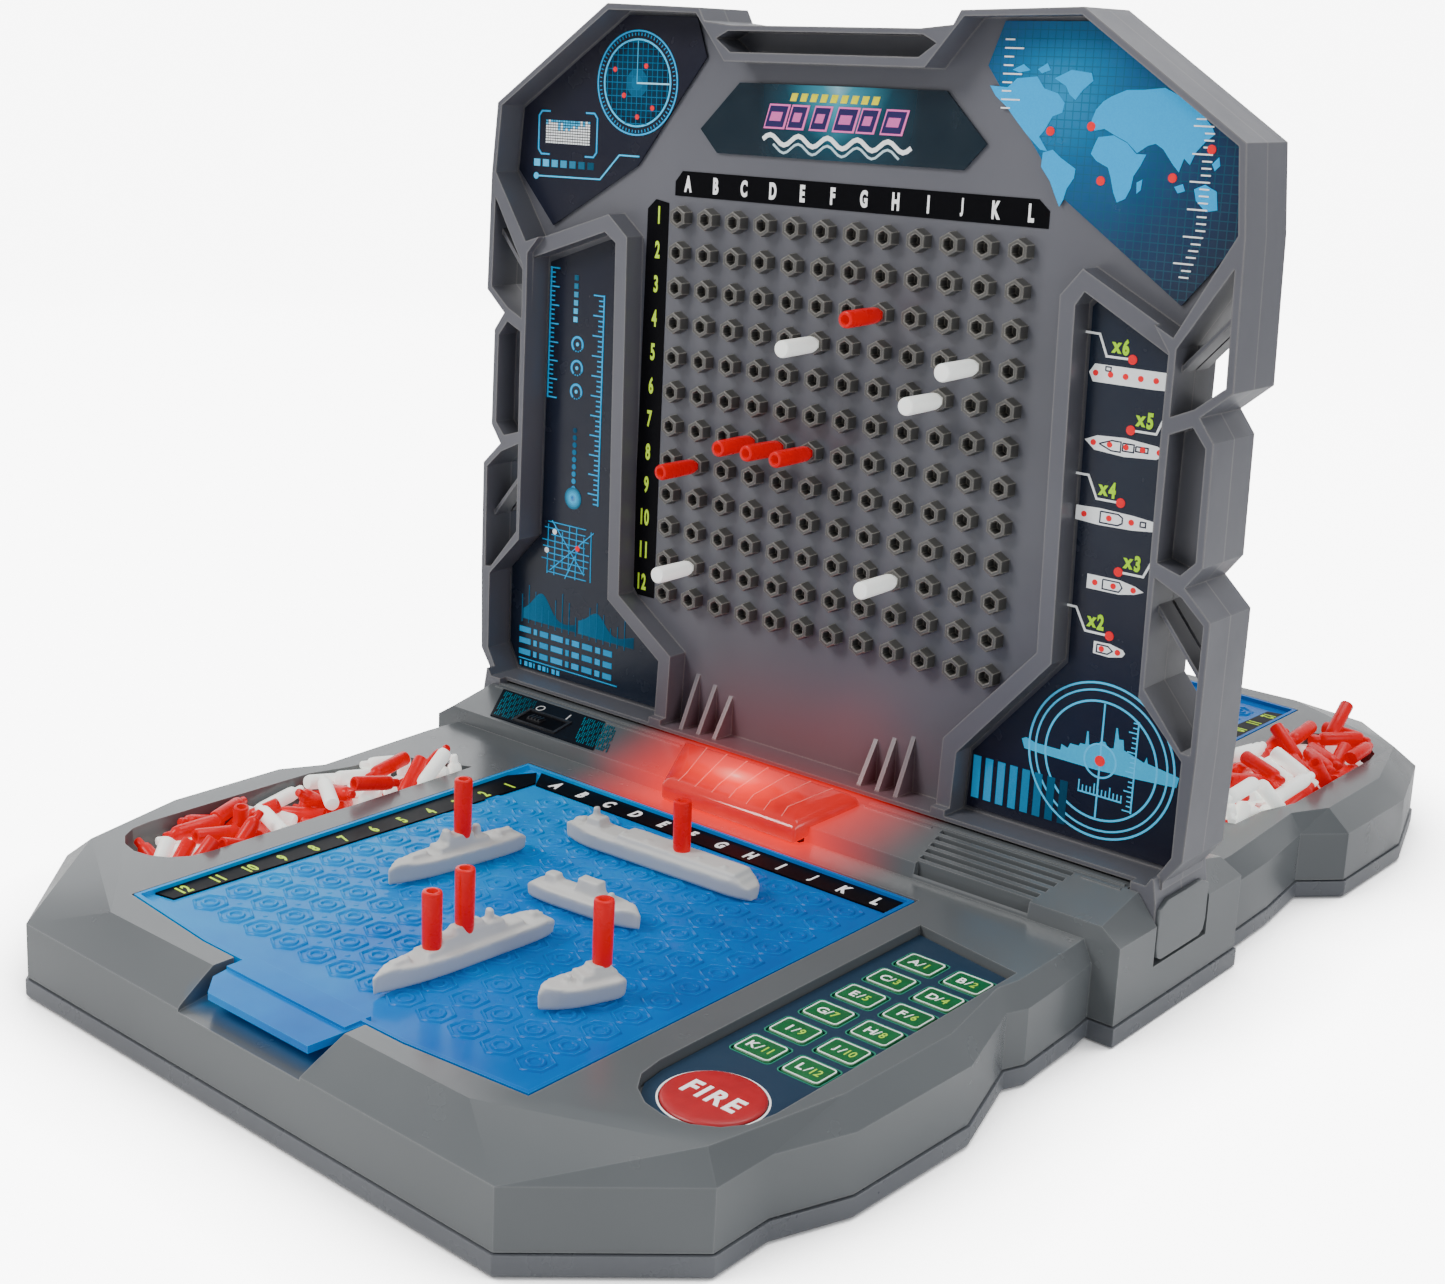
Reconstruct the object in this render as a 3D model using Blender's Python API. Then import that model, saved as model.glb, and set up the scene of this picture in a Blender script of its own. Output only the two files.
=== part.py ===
# Fleet guessing case: a two-player peg game in a moulded case.
# A flat base carries a hinged ocean tray, a peg well and a keypad for each player.
# A central spine holds the electronics and an upright screen with peg sockets on both faces.
#
# Frame: metres, +Z up, X along the spine, Y across it.  The front player sits at -Y, with
# +X on the right.  The origin is the middle of the underside, and the rear player's parts
# are the front ones after half a turn about Z.
# All numbers below are in modules of one peg pitch, with height 0 on the deck; put() scales
# them to metres and lifts the underside to Z = 0.
import bpy
import bmesh
import math
from mathutils import Vector

for old_object in list(bpy.data.objects):
    bpy.data.objects.remove(old_object, do_unlink=True)

# ------------------------------------------------------------------ driving dimensions
MODULE = 0.010            # peg pitch of the screen, in metres
Z_BOTTOM = -2.45          # underside of the case
LIFT = -Z_BOTTOM
Z_SEAM = -1.95            # joint between the top housing and the bottom cover
Z_EDGE = -0.55            # top edge of the outer wall
Z_BELOW = -3.0            # start of the cutters that come in from under the case
WALL = 0.25               # moulded wall thickness
GAP = 0.03                # clearance between neighbouring parts
HOUSING_FOOT = Z_SEAM + GAP / 2
COVER_TOP = Z_SEAM - GAP / 2
COVER_LIP = 0.06          # how far the cover stands out past the housing

SPINE_X = 11.72           # half length of the spine
SPINE_ROOF_X = 11.15      # half length of its roof
SPINE_Y = 3.2             # half width of the spine
SPINE_FLAT_Y = 1.45       # half width of the level strip of the roof
SPINE_EAVE = 0.42         # height of the roof's long edges
SPINE_TOP = 0.78          # height of the level strip

RIM_Y = 1.07              # half depth of the screen's frame
EAR_Y = 1.36              # half depth of the ears that plug into the spine
RIB_Y = 0.82              # half depth over the ribs round the tall panels
GRID_Y = 0.45             # half depth over the socket fields
WEB_Y = 0.13              # half thickness of the screen's central web
Z_FOOT = 0.98             # top of the rail along the foot of the screen
GRID_X = -5.13            # first socket column of the front face
GRID_Z = 4.77             # lowest socket row
ROWS = COLS = 12
GRID_MARGIN = 0.42        # socket block beyond the outer socket centres
HOLE = 0.17               # half width of a socket hole

PEG_R = 0.23              # peg head radius
PEG_L = 1.45              # peg head length
TIP_R = 0.125             # peg tip radius
TIP_L = 0.28              # peg tip length

SCREW_X, SCREW_Y = -8.6, -17.6      # front case screw
SCREW_BOSS_R = 0.38
BATTERY_X = -7.58         # middle of the cells
TRAY_HINGE = (0, -4.45, -0.14)      # origin of the front tray
FIRE = (9.15, -15.13)     # centre of the front fire button

# ------------------------------------------------------------------ materials
MATERIALS = {
    "case_grey": dict(colour=(0.20, 0.21, 0.22), roughness=0.38),
    "cover_grey": dict(colour=(0.19, 0.20, 0.21), roughness=0.4),
    "screen_grey": dict(colour=(0.19, 0.19, 0.21), roughness=0.4),
    "ocean_blue": dict(colour=(0.02, 0.22, 0.62), roughness=0.18),
    "signal_red": dict(colour=(0.75, 0.03, 0.03), roughness=0.15, glow=(0.9, 0.05, 0.03)),
    "peg_red": dict(colour=(0.80, 0.01, 0.02), roughness=0.35),
    "peg_white": dict(colour=(0.86, 0.87, 0.84), roughness=0.35),
    "ship_grey": dict(colour=(0.60, 0.60, 0.58), roughness=0.5),
    "label_dark": dict(colour=(0.01, 0.015, 0.03), roughness=0.3),
    "label_blue": dict(colour=(0.02, 0.16, 0.36), roughness=0.3),
    "label_teal": dict(colour=(0.02, 0.09, 0.13), roughness=0.3),
    "key_slate": dict(colour=(0.035, 0.055, 0.09), roughness=0.4),
    "key_green": dict(colour=(0.0, 0.18, 0.05), roughness=0.4),
    "fire_red": dict(colour=(0.60, 0.03, 0.04), roughness=0.35),
    "switch_black": dict(colour=(0.02, 0.02, 0.025), roughness=0.5),
    "board_green": dict(colour=(0.02, 0.15, 0.06), roughness=0.5),
    "steel": dict(colour=(0.55, 0.55, 0.56), roughness=0.3, metallic=1.0),
    "cell_wrap": dict(colour=(0.10, 0.10, 0.11), roughness=0.35),
    "speaker_black": dict(colour=(0.03, 0.03, 0.03), roughness=0.6),
}
GLOW_STRENGTH = 0.6


def make_material(name, colour, roughness, metallic=0.0, glow=None):
    material = bpy.data.materials.new(name)
    material.use_nodes = True
    inputs = material.node_tree.nodes["Principled BSDF"].inputs
    inputs["Base Color"].default_value = (*colour, 1)
    inputs["Roughness"].default_value = roughness
    inputs["Metallic"].default_value = metallic
    if glow:
        inputs["Emission Color"].default_value = (*glow, 1)
        inputs["Emission Strength"].default_value = GLOW_STRENGTH
    return material


materials = {name: make_material(name, **look) for name, look in MATERIALS.items()}


# ------------------------------------------------------------------ outlines
def same(points):
    return points


def turn(points):
    """Half turn of a plan about the Z axis."""
    return [(-x, -y) for x, y in points]


def mirror(points, side):
    """The outline itself for side 1, mirrored in X for side -1."""
    return [(side * x, z) for x, z in points]


def symmetric(half):
    """Closed outline from one half and its mirror image in X."""
    return half + [(-x, *rest) for x, *rest in half[::-1]]


def rect(x0, x1, y0, y1):
    return [(x0, y0), (x1, y0), (x1, y1), (x0, y1)]


def arc(centre_x, centre_y, radius, start, end, steps):
    """Points from start to end, in degrees, both included."""
    angles = [math.radians(start + (end - start) * i / steps) for i in range(steps + 1)]
    return [(centre_x + radius * math.cos(a), centre_y + radius * math.sin(a)) for a in angles]


def circle(centre, radius, sides):
    return arc(*centre, radius, 0, 360 - 360 / sides, sides - 1)


def inset(points, distance):
    """Clockwise plan moved inwards, with mitred corners; the mitre's reach is limited."""
    moved = []
    for i, point in enumerate(points):
        before, corner, after = (Vector(points[i - 1]), Vector(point),
                                 Vector(points[(i + 1) % len(points)]))
        edge_in, edge_out = (corner - before).normalized(), (after - corner).normalized()
        mitre = Vector((edge_in.y, -edge_in.x)) + Vector((edge_out.y, -edge_out.x))
        mitre = mitre / max(mitre.length_squared / 2, 0.35)
        moved.append((corner.x + mitre.x * distance, corner.y + mitre.y * distance))
    return moved


def grown(points, distance):
    """Plan with every point moved out in X and in Y, away from the mean point."""
    mean_x = sum(x for x, y in points) / len(points)
    mean_y = sum(y for x, y in points) / len(points)
    return [(x + math.copysign(distance, x - mean_x), y + math.copysign(distance, y - mean_y))
            for x, y in points]


def scaled(points, centre, scale_x, scale_y):
    return [(centre[0] + (x - centre[0]) * scale_x, centre[1] + (y - centre[1]) * scale_y)
            for x, y in points]


# ------------------------------------------------------------------ solids
def rings(loops, into=None):
    """Closed solid through rings that all have the same number of points."""
    solid = into or bmesh.new()
    verts = [[solid.verts.new(point) for point in loop] for loop in loops]
    count = len(loops[0])
    solid.faces.new(verts[0][::-1])
    solid.faces.new(verts[-1])
    for low, high in zip(verts, verts[1:]):
        for i in range(count):
            j = (i + 1) % count
            solid.faces.new((low[i], low[j], high[j], high[i]))
    return solid


def layered(*levels):
    """Solid through (plan, height) levels."""
    return rings([[(x, y, z) for x, y in plan] for plan, z in levels])


def prism(plan, z0, z1):
    return layered((plan, z0), (plan, z1))


def slab(profile, y0, y1, into=None):
    """Prism along Y of a profile drawn in X and Z."""
    return rings([[(x, y, z) for x, z in profile] for y in (y0, y1)], into)


def box(x0, x1, y0, y1, z0, z1):
    return prism(rect(x0, x1, y0, y1), z0, z1)


def turned(profile, sides, centre, axis="z"):
    """Closed solid of revolution from (radius, height) pairs that start and end off the axis."""
    centre_x, centre_y, centre_z = centre
    loops = []
    for radius, height in profile:
        loop = []
        for i in range(sides):
            angle = 2 * math.pi * (i + 0.5) / sides
            cos, sin = radius * math.cos(angle), radius * math.sin(angle)
            dx, dy, dz = {"x": (height, cos, sin),
                          "y": (cos, height, sin),
                          "z": (cos, sin, height)}[axis]
            loop.append((centre_x + dx, centre_y + dy, centre_z + dz))
        loops.append(loop)
    return rings(loops)


def post(centre, radius, z0, z1):
    """Upright 12-sided cylinder."""
    return turned([(radius, z0), (radius, z1)], 12, (*centre, 0))


# ------------------------------------------------------------------ objects
def put(name, solid, material=None, pivot=(0, 0, 0)):
    """Object from a solid drawn in modules; its origin goes to pivot, also in modules."""
    bmesh.ops.recalc_face_normals(solid, faces=solid.faces)
    bent = [face for face in solid.faces if len(face.verts) > 3 and
            max(abs((vert.co - face.calc_center_median()).dot(face.normal))
                for vert in face.verts) > 1e-5]
    if bent:
        bmesh.ops.triangulate(solid, faces=bent)
    origin = Vector(pivot)
    for vert in solid.verts:
        vert.co = (vert.co - origin) * MODULE
    mesh = bpy.data.meshes.new(name)
    solid.to_mesh(mesh)
    solid.free()
    piece = bpy.data.objects.new(name, mesh)
    piece.location = (origin + Vector((0, 0, LIFT))) * MODULE
    bpy.context.scene.collection.objects.link(piece)
    if material:
        mesh.materials.append(materials[material])
    return piece


def combine(piece, tool, operation):
    """Booleans the tool object into the piece, fixes the result and removes the tool."""
    modifier = piece.modifiers.new("combine", "BOOLEAN")
    modifier.operation = operation
    modifier.solver = "EXACT"
    modifier.object = tool
    depsgraph = bpy.context.evaluated_depsgraph_get()
    depsgraph.update()
    mesh = bpy.data.meshes.new_from_object(piece.evaluated_get(depsgraph))
    old_mesh = piece.data
    piece.modifiers.clear()
    piece.data = mesh
    bpy.data.meshes.remove(old_mesh)
    mesh.name = piece.name
    bpy.data.objects.remove(tool, do_unlink=True)


def cut(piece, *solids):
    """Subtracts the solids one after another."""
    for solid in solids:
        combine(piece, put("tool", solid), "DIFFERENCE")


def join(piece, *solids):
    """Adds the solids one after another."""
    for solid in solids:
        combine(piece, put("tool", solid), "UNION")


def rear_copy(piece, name):
    """The same moulding for the other player: a half turn about Z."""
    copy = piece.copy()
    copy.data = piece.data.copy()
    copy.name = name
    copy.location = (-piece.location.x, -piece.location.y, piece.location.z)
    copy.rotation_euler = (0, 0, math.pi)
    bpy.context.scene.collection.objects.link(copy)


# ------------------------------------------------------------------ plans of the case, (x, y)
# outer wall of the front half, from the spine's right end round to its left end,
# and the matching points of the flat deck inside it
FRONT_EDGE = [
    (11.0, -3.05), (11.1, -4.0), (11.2, -6.35), (10.98, -6.95), (11.75, -9.6),
    (11.62, -13.6), (10.95, -15.5), (10.95, -17.2), (7.98, -20.15), (-8.05, -20.1),
    (-11.0, -17.05), (-11.93, -13.7), (-11.9, -9.78), (-10.95, -8.7), (-11.2, -6.3),
    (-11.25, -4.4), (-11.15, -3.05)]
FRONT_DECK = [
    (10.75, -3.05), (10.8, -4.1), (10.85, -6.25), (10.72, -7.0), (11.2, -9.6),
    (11.1, -13.4), (10.72, -15.5), (10.45, -16.9), (6.0, -18.9), (-6.2, -18.95),
    (-10.4, -16.7), (-11.2, -13.5), (-11.2, -9.9), (-10.62, -8.7), (-10.75, -6.3),
    (-10.85, -4.4), (-10.8, -3.05)]
EDGE = FRONT_EDGE + turn(FRONT_EDGE)
DECK = FRONT_DECK + turn(FRONT_DECK)

# openings of the front half
TRAY = symmetric([(6.75, -4.2), (6.75, -18.0), (3.4, -18.35)])
COMPARTMENT = symmetric([(6.3, -4.75), (6.3, -17.6), (3.2, -17.95)])
WELL = [(-9.9, -6.7), (-7.62, -5.7), (-7.62, -14.9),
        *arc(-8.98, -15.0, 1.38, 0, -180, 8)[1:-1],
        (-10.36, -14.9), (-10.36, -9.5), (-9.98, -8.2)]
KEYPAD = [(7.6, -5.4), (10.62, -6.0), (10.62, -15.0),
          *arc(9.11, -15.12, 1.51, 0, -180, 8)[1:-1],
          (7.6, -15.0)]
KEY_OPENING = rect(7.98, 10.46, -6.3, -13.42)
NOTCH = [(2.25, -18.2), (2.25, -21.0), (-1.55, -21.0), (-2.0, -20.0), (-2.25, -18.9),
         (-2.25, -18.2)]
NOTCH_TUB = [(2.4, -18.1), (2.4, -20.3), (-1.9, -20.3), (-2.4, -19.0), (-2.4, -18.1)]
LENS_OPENING = [(-2.95, -1.75), (2.85, -1.75), (2.35, -3.6), (-2.15, -3.6)]
SCREWS = [(SCREW_X, SCREW_Y), (-SCREW_X, -SCREW_Y)]


# ------------------------------------------------------------------ top housing
def spine_solid(shrink, z0):
    """The spine's body above z0, with its sides and roof moved inwards by shrink."""
    foot_x, roof_x, half_y = SPINE_X - shrink, SPINE_ROOF_X - shrink, SPINE_Y - shrink
    foot = symmetric([(foot_x, -half_y), (foot_x, -SPINE_FLAT_Y),
                      (foot_x, SPINE_FLAT_Y), (foot_x, half_y)])
    roof_edge = symmetric([(roof_x, -half_y + 0.08, SPINE_EAVE - shrink),
                           (roof_x, -SPINE_FLAT_Y, SPINE_TOP - shrink),
                           (roof_x, SPINE_FLAT_Y, SPINE_TOP - shrink),
                           (roof_x, half_y - 0.08, SPINE_EAVE - shrink)])
    solid = rings([[(x, y, z0) for x, y in foot],
                   [(x, y, 0.05 - shrink) for x, y in foot],
                   roof_edge])
    # the roof is three flat strips, not one bent face
    roof = max(solid.faces, key=lambda face: face.calc_center_median().z)
    corners = list(roof.verts)
    solid.faces.remove(roof)
    for strip in ((0, 1, 6, 7), (1, 2, 5, 6), (2, 3, 4, 5)):
        solid.faces.new([corners[i] for i in strip])
    return solid


def make_cavity():
    """Tool for the inside of the housing; what is cut from it stays as solid tubs and bosses."""
    cavity = put("cavity", layered((inset(EDGE, WALL), Z_BELOW),
                                   (inset(EDGE, WALL), Z_EDGE - 0.12),
                                   (inset(DECK, WALL), -WALL)))
    join(cavity, spine_solid(WALL, Z_BELOW))
    for place in (same, turn):
        cut(cavity,
            prism(place(grown(WELL, 0.18)), -1.75, 1.0),
            prism(place(grown(KEYPAD, 0.2)), -1.2, 1.0),
            prism(place(grown(TRAY, 0.14)), -1.9, 1.0),
            prism(place(NOTCH_TUB), -0.8, 1.0))
    # sockets at the spine's ends for the screen's ears
    for side in (1, -1):
        cut(cavity, box(*sorted((side * 10.6, side * 11.6)), -1.75, 1.75, -1.3, 1.2))
    for centre in SCREWS:
        cut(cavity, post(centre, SCREW_BOSS_R, Z_BELOW, 0.5))
    return cavity


def cut_deck_openings(housing):
    for centre in SCREWS:
        cut(housing, post(centre, 0.11, Z_BELOW, -0.9))
    for place in (same, turn):
        cut(housing,
            prism(place(WELL), -1.6, 1.0),
            prism(place(KEYPAD), -0.32, 1.0),
            # under the keys and the fire button, down through the keypad floor
            prism(place(KEY_OPENING), -1.5, 0.5),
            prism(place(circle(FIRE, 0.8, 12)), -1.5, 0.5),
            # tray rebate, and the compartment below it
            prism(place(TRAY), -0.36, 1.0),
            prism(place(COMPARTMENT), Z_BELOW, 0.5),
            # finger notch in the outer bevel
            prism(place(NOTCH), -0.62, 1.0))


def cut_spine_openings(housing):
    for place in (same, turn):
        cut(housing, prism(place(LENS_OPENING), -0.2, 1.5))
    # grille slots at the front right and the rear left, shorter towards the long edges
    for k in range(6):
        x0, x1 = 5.6 + 0.06 * k, 9.45 - 0.05 * k
        y = 1.45 + 0.31 * k
        cut(housing,
            box(x0, x1, -y - 0.18, -y, 0.0, 1.5),
            box(-x1, -x0, y, y + 0.18, 0.0, 1.5))
    # slot of the power switch
    cut(housing, box(-8.5, -7.3, -2.75, -2.35, 0.0, 1.5))
    # slots for the screen's ears
    for side in (1, -1):
        profile = rect(*sorted((side * 10.85, side * 11.9)), -1.0, 1.5)
        cut(housing, slab(profile, -EAR_Y - GAP, EAR_Y + GAP))


def make_housing():
    housing = put("base_top_housing",
                  layered((EDGE, HOUSING_FOOT), (EDGE, Z_EDGE), (DECK, 0.0)), "case_grey")
    join(housing, spine_solid(0, HOUSING_FOOT))
    combine(housing, make_cavity(), "DIFFERENCE")
    cut_deck_openings(housing)
    cut_spine_openings(housing)


make_housing()

# ------------------------------------------------------------------ bottom cover
BATTERY_OPENING = (-10.6, -4.55, -2.65, 2.65)     # x0, x1, y0, y1
DOOR_SCREW = (BATTERY_X, 2.2)


def spine_plan(offset):
    """The spine's plan, moved outwards by offset."""
    half_x, half_y = SPINE_X + offset, SPINE_Y + offset
    return symmetric([(half_x, -half_y), (half_x, half_y)])


def make_cover():
    outline = inset(EDGE, -COVER_LIP)
    cover = put("base_bottom_cover", layered((inset(outline, 0.05), Z_BOTTOM),
                                             (outline, Z_BOTTOM + 0.08),
                                             (outline, COVER_TOP)), "cover_grey")
    join(cover, prism(spine_plan(COVER_LIP), Z_BOTTOM, COVER_TOP))
    floor = Z_BOTTOM + 0.2
    inside = put("inside", prism(inset(EDGE, WALL), floor, 0))
    join(inside, prism(spine_plan(-WALL), floor, 0))
    combine(cover, inside, "DIFFERENCE")
    # battery opening, and a notch in the underside at its right edge
    right = BATTERY_OPENING[1]
    cut(cover,
        box(*BATTERY_OPENING, Z_BELOW, -2.0),
        box(right - 0.05, right + 0.45, -0.5, 0.5, Z_BELOW, Z_BOTTOM + 0.1))
    # standoffs, with stepped holes for the case screws
    for centre in SCREWS:
        join(cover, post(centre, SCREW_BOSS_R, Z_BOTTOM + 0.1, COVER_TOP))
        step = Z_BOTTOM + 0.15
        cut(cover, turned([(0.22, Z_BELOW), (0.22, step), (0.12, step), (0.12, -1.0)],
                          12, (*centre, 0)))


def make_battery_door():
    x0, x1, y0, y1 = BATTERY_OPENING
    door = put("battery_door", box(x0 + GAP, x1 - GAP, y0 + GAP, y1 - GAP,
                                   Z_BOTTOM + 0.01, Z_BOTTOM + 0.19), "cover_grey")
    cut(door, post(DOOR_SCREW, 0.17, Z_BELOW, -1.5))
    centre = (*DOOR_SCREW, Z_BOTTOM + 0.02)
    put("battery_door_screw",
        turned([(0.06, 0.0), (0.13, 0.02), (0.13, 0.14), (0.06, 0.17), (0.06, 0.3)], 12, centre),
        "steel", pivot=centre)


def make_case_screw(name, x, y):
    """Slotted pan-head screw driven upwards from the underside."""
    z = Z_BOTTOM + 0.01
    length = 1.1
    profile = [(0.1, 0.0), (0.19, 0.03), (0.19, 0.1), (0.09, 0.13), (0.09, length),
               (0.03, length + 0.1)]
    screw = put(name, turned(profile, 12, (x, y, z)), "steel", pivot=(x, y, z))
    cut(screw, box(x - 0.13, x + 0.13, y - 0.025, y + 0.025, z - 0.1, z + 0.06))


make_cover()
make_battery_door()
make_case_screw("case_screw_front", *SCREWS[0])
make_case_screw("case_screw_rear", *SCREWS[1])


# ------------------------------------------------------------------ power and electronics
def make_batteries():
    """Three cells side by side along X, the middle one reversed, between two plates."""
    for number, y, way in ((1, -1.7, 1), (2, 0.0, -1), (3, 1.7, 1)):
        z = -1.42
        profile = [(0.3, 0.0), (0.7, way * 0.04), (0.7, way * 4.75), (0.28, way * 4.8),
                   (0.26, way * 4.92)]
        put(f"battery_{number}",
            turned(profile, 16, (BATTERY_X - way * 2.45, y, z), axis="x"),
            "cell_wrap", pivot=(BATTERY_X, y, z))
    for name, x in (("battery_spring_plate", -10.36), ("battery_contact_plate", -4.86)):
        put(name, box(x, x + 0.05, -2.5, 2.5, -2.0, -0.85), "steel")


def make_electronics():
    put("main_board", box(-3.2, 4.3, -2.5, 2.5, -1.0, -0.86), "board_green")
    led = (0, -2.2, -0.8)
    put("signal_led",
        turned([(0.22, 0.0), (0.25, 0.04), (0.25, 0.35), (0.17, 0.52), (0.06, 0.58)], 12, led),
        "signal_red", pivot=led)
    speaker = (7.5, -1.4, -0.15)
    put("speaker",
        turned([(0.55, -0.75), (0.6, -0.72), (0.6, -0.5), (1.2, -0.12), (1.3, -0.1), (1.3, 0.0)],
               16, speaker),
        "speaker_black", pivot=speaker)


def make_switch_knob():
    """Sliding knob in its slot, with a wider foot under the roof."""
    knob = put("power_switch_knob", box(-8.4, -7.85, -2.68, -2.42, -0.1, 0.62),
               "switch_black", pivot=(-8.4, -2.55, 0.3))
    join(knob, box(-8.48, -7.78, -2.8, -2.3, -0.25, -0.08))


make_batteries()
make_electronics()
make_switch_knob()

# ------------------------------------------------------------------ signal lenses
# levels of the front lens from the bottom up: the outer edge (towards -Y) as left x,
# right x, y, z, then the inner edge in the same order
LENS_OUTSIDE = [
    ((-2.10, 2.30, -3.50, 0.12), (-2.90, 2.80, -1.80, 0.12)),
    ((-2.10, 2.30, -3.50, 0.40), (-2.90, 2.80, -1.80, 0.80)),
    ((-2.20, 2.42, -3.62, 0.50), (-3.15, 3.05, -1.55, 0.86)),
    ((-2.15, 2.36, -3.50, 0.62), (-3.05, 2.95, -1.60, 1.02)),
    ((-1.90, 2.10, -3.15, 0.80), (-2.70, 2.60, -1.80, 1.10)),
]
LENS_HOLLOW = [
    ((-1.95, 2.15, -3.35, 0.0), (-2.70, 2.60, -1.95, 0.0)),
    ((-1.95, 2.15, -3.35, 0.42), (-2.70, 2.60, -1.95, 0.80)),
    ((-1.80, 2.00, -3.10, 0.62), (-2.55, 2.45, -2.00, 0.92)),
]


def lens_solid(levels):
    loops = []
    for (left, right, y, z), (inner_left, inner_right, inner_y, inner_z) in levels:
        loops.append([(left, y, z), (right, y, z),
                      (inner_right, inner_y, inner_z), (inner_left, inner_y, inner_z)])
    return rings(loops)


def make_lenses():
    lens = put("signal_lens_front", lens_solid(LENS_OUTSIDE), "signal_red")
    cut(lens, lens_solid(LENS_HOLLOW))
    rear_copy(lens, "signal_lens_rear")


make_lenses()

# ------------------------------------------------------------------ ocean trays
TRAY_RIM = symmetric([(6.70, -4.32), (6.70, -17.95), (3.38, -18.3)])
TRAY_PAN = symmetric([(6.2, -4.85), (6.2, -17.5), (3.1, -17.8)])
TRAY_TAB = [(-2.1, -18.2), (2.15, -18.2), (2.05, -19.75), (-1.35, -19.75), (-1.9, -19.2)]


def make_trays():
    """Shallow pan with a tab that lies in the finger notch."""
    tray = put("ocean_tray_front", prism(TRAY_RIM, -0.30, 0.02), "ocean_blue", pivot=TRAY_HINGE)
    cut(tray, prism(TRAY_PAN, -0.14, 1.0))
    join(tray, prism(TRAY_TAB, -0.26, -0.06))
    rear_copy(tray, "ocean_tray_rear")


make_trays()

# ------------------------------------------------------------------ keypads
# key centres: six rows of two, slightly skewed
KEYS = [(8.61 + 1.30 * c - 0.02 * r, -6.87 - 1.178 * r - 0.03 * c)
        for r in range(6) for c in range(2)]
KEY_X, KEY_Y = 0.49, 0.41           # half size of a key cap
MAT_X0, MAT_X1 = 8.03, 10.41        # sides of the key mat


def make_overlays():
    """Thin plate in the keypad's recess, with openings for the keys and the fire button."""
    outline = [(x + (0.04 if x < 9 else -0.04), y + (-0.05 if y > -10 else 0.05))
               for x, y in KEYPAD]
    overlay = put("keypad_overlay_front", prism(outline, -0.29, -0.23), "key_slate")
    for x, y in KEYS:
        cut(overlay, box(x - 0.53, x + 0.53, y - 0.45, y + 0.45, -1, 1))
    cut(overlay, prism(circle(FIRE, 1.14, 24), -1, 1))
    rear_copy(overlay, "keypad_overlay_rear")


def make_key_mats():
    """Mat with a stem and a wider cap for each key."""
    mat = put("key_mat_front", box(MAT_X0, MAT_X1, -6.36, -13.36, -0.75, -0.42), "key_green")
    for x, y in KEYS:
        stem = rect(max(x - KEY_X, MAT_X0) + 0.1, min(x + KEY_X, MAT_X1) - 0.1, y - 0.3, y + 0.3)
        cap = rect(x - KEY_X, x + KEY_X, y - KEY_Y, y + KEY_Y)
        join(mat, layered((stem, -0.5), (stem, -0.27), (cap, -0.26), (cap, -0.20)))
    rear_copy(mat, "key_mat_rear")


def make_fire_buttons():
    profile = [(0.7, -0.6), (0.74, -0.58), (0.74, -0.24), (1.08, -0.23), (1.10, -0.2),
               (1.03, -0.15)]
    button = put("fire_button_front", turned(profile, 24, (*FIRE, 0.0)), "fire_red",
                 pivot=(*FIRE, -0.2))
    rear_copy(button, "fire_button_rear")


make_overlays()
make_key_mats()
make_fire_buttons()

# ------------------------------------------------------------------ screen outlines, (x, z)
FRAME = symmetric([
    (3.0, 21.05), (3.95, 21.15), (4.15, 21.5), (7.5, 21.6), (11.8, 18.7), (12.0, 16.6),
    (12.1, 13.1), (11.35, 12.45), (11.75, 11.9), (11.8, 8.95), (11.4, 8.4), (12.12, 7.7),
    (12.12, 4.3), (12.05, 1.7), (11.6, 1.05), (11.6, 0.86)])
EAR = [(11.62, 0.5), (11.62, -0.55), (11.5, -0.9), (10.9, -0.9), (10.9, 1.2), (11.5, 1.2)]
# pockets of the front face, each down to the web
MIDDLE_POCKET = [
    (-4.5, Z_FOOT), (-4.42, 3.06), (-6.52, 4.5), (-6.68, 15.1), (-7.42, 15.7),
    (-10.5, 14.68), (-11.82, 16.65), (-11.62, 18.62), (-7.45, 21.42), (-4.25, 21.35),
    (-3.2, 20.1), (3.2, 20.1), (4.25, 21.35), (7.45, 21.42), (11.62, 18.62),
    (11.82, 16.65), (10.5, 14.2), (7.9, 15.55), (7.34, 14.86), (7.53, 5.9), (5.0, 3.0),
    (4.93, Z_FOOT)]
LEFT_POCKET = [
    (-4.95, Z_FOOT), (-4.87, 2.82), (-6.97, 4.28), (-7.12, 14.9), (-7.55, 15.18),
    (-10.4, 14.2), (-10.5, 5.5), (-11.75, 4.2), (-11.75, 1.75), (-11.3, Z_FOOT)]
RIGHT_POCKET = [
    (5.37, Z_FOOT), (5.44, 2.7), (7.97, 5.7), (7.78, 14.66), (8.0, 15.0), (10.4, 13.7),
    (10.5, 5.5), (11.75, 4.2), (11.75, 1.75), (11.3, Z_FOOT)]
HANDLE_POCKET = symmetric([(-3.0, 20.35), (-3.5, 20.7), (-3.1, 20.9)])
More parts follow.
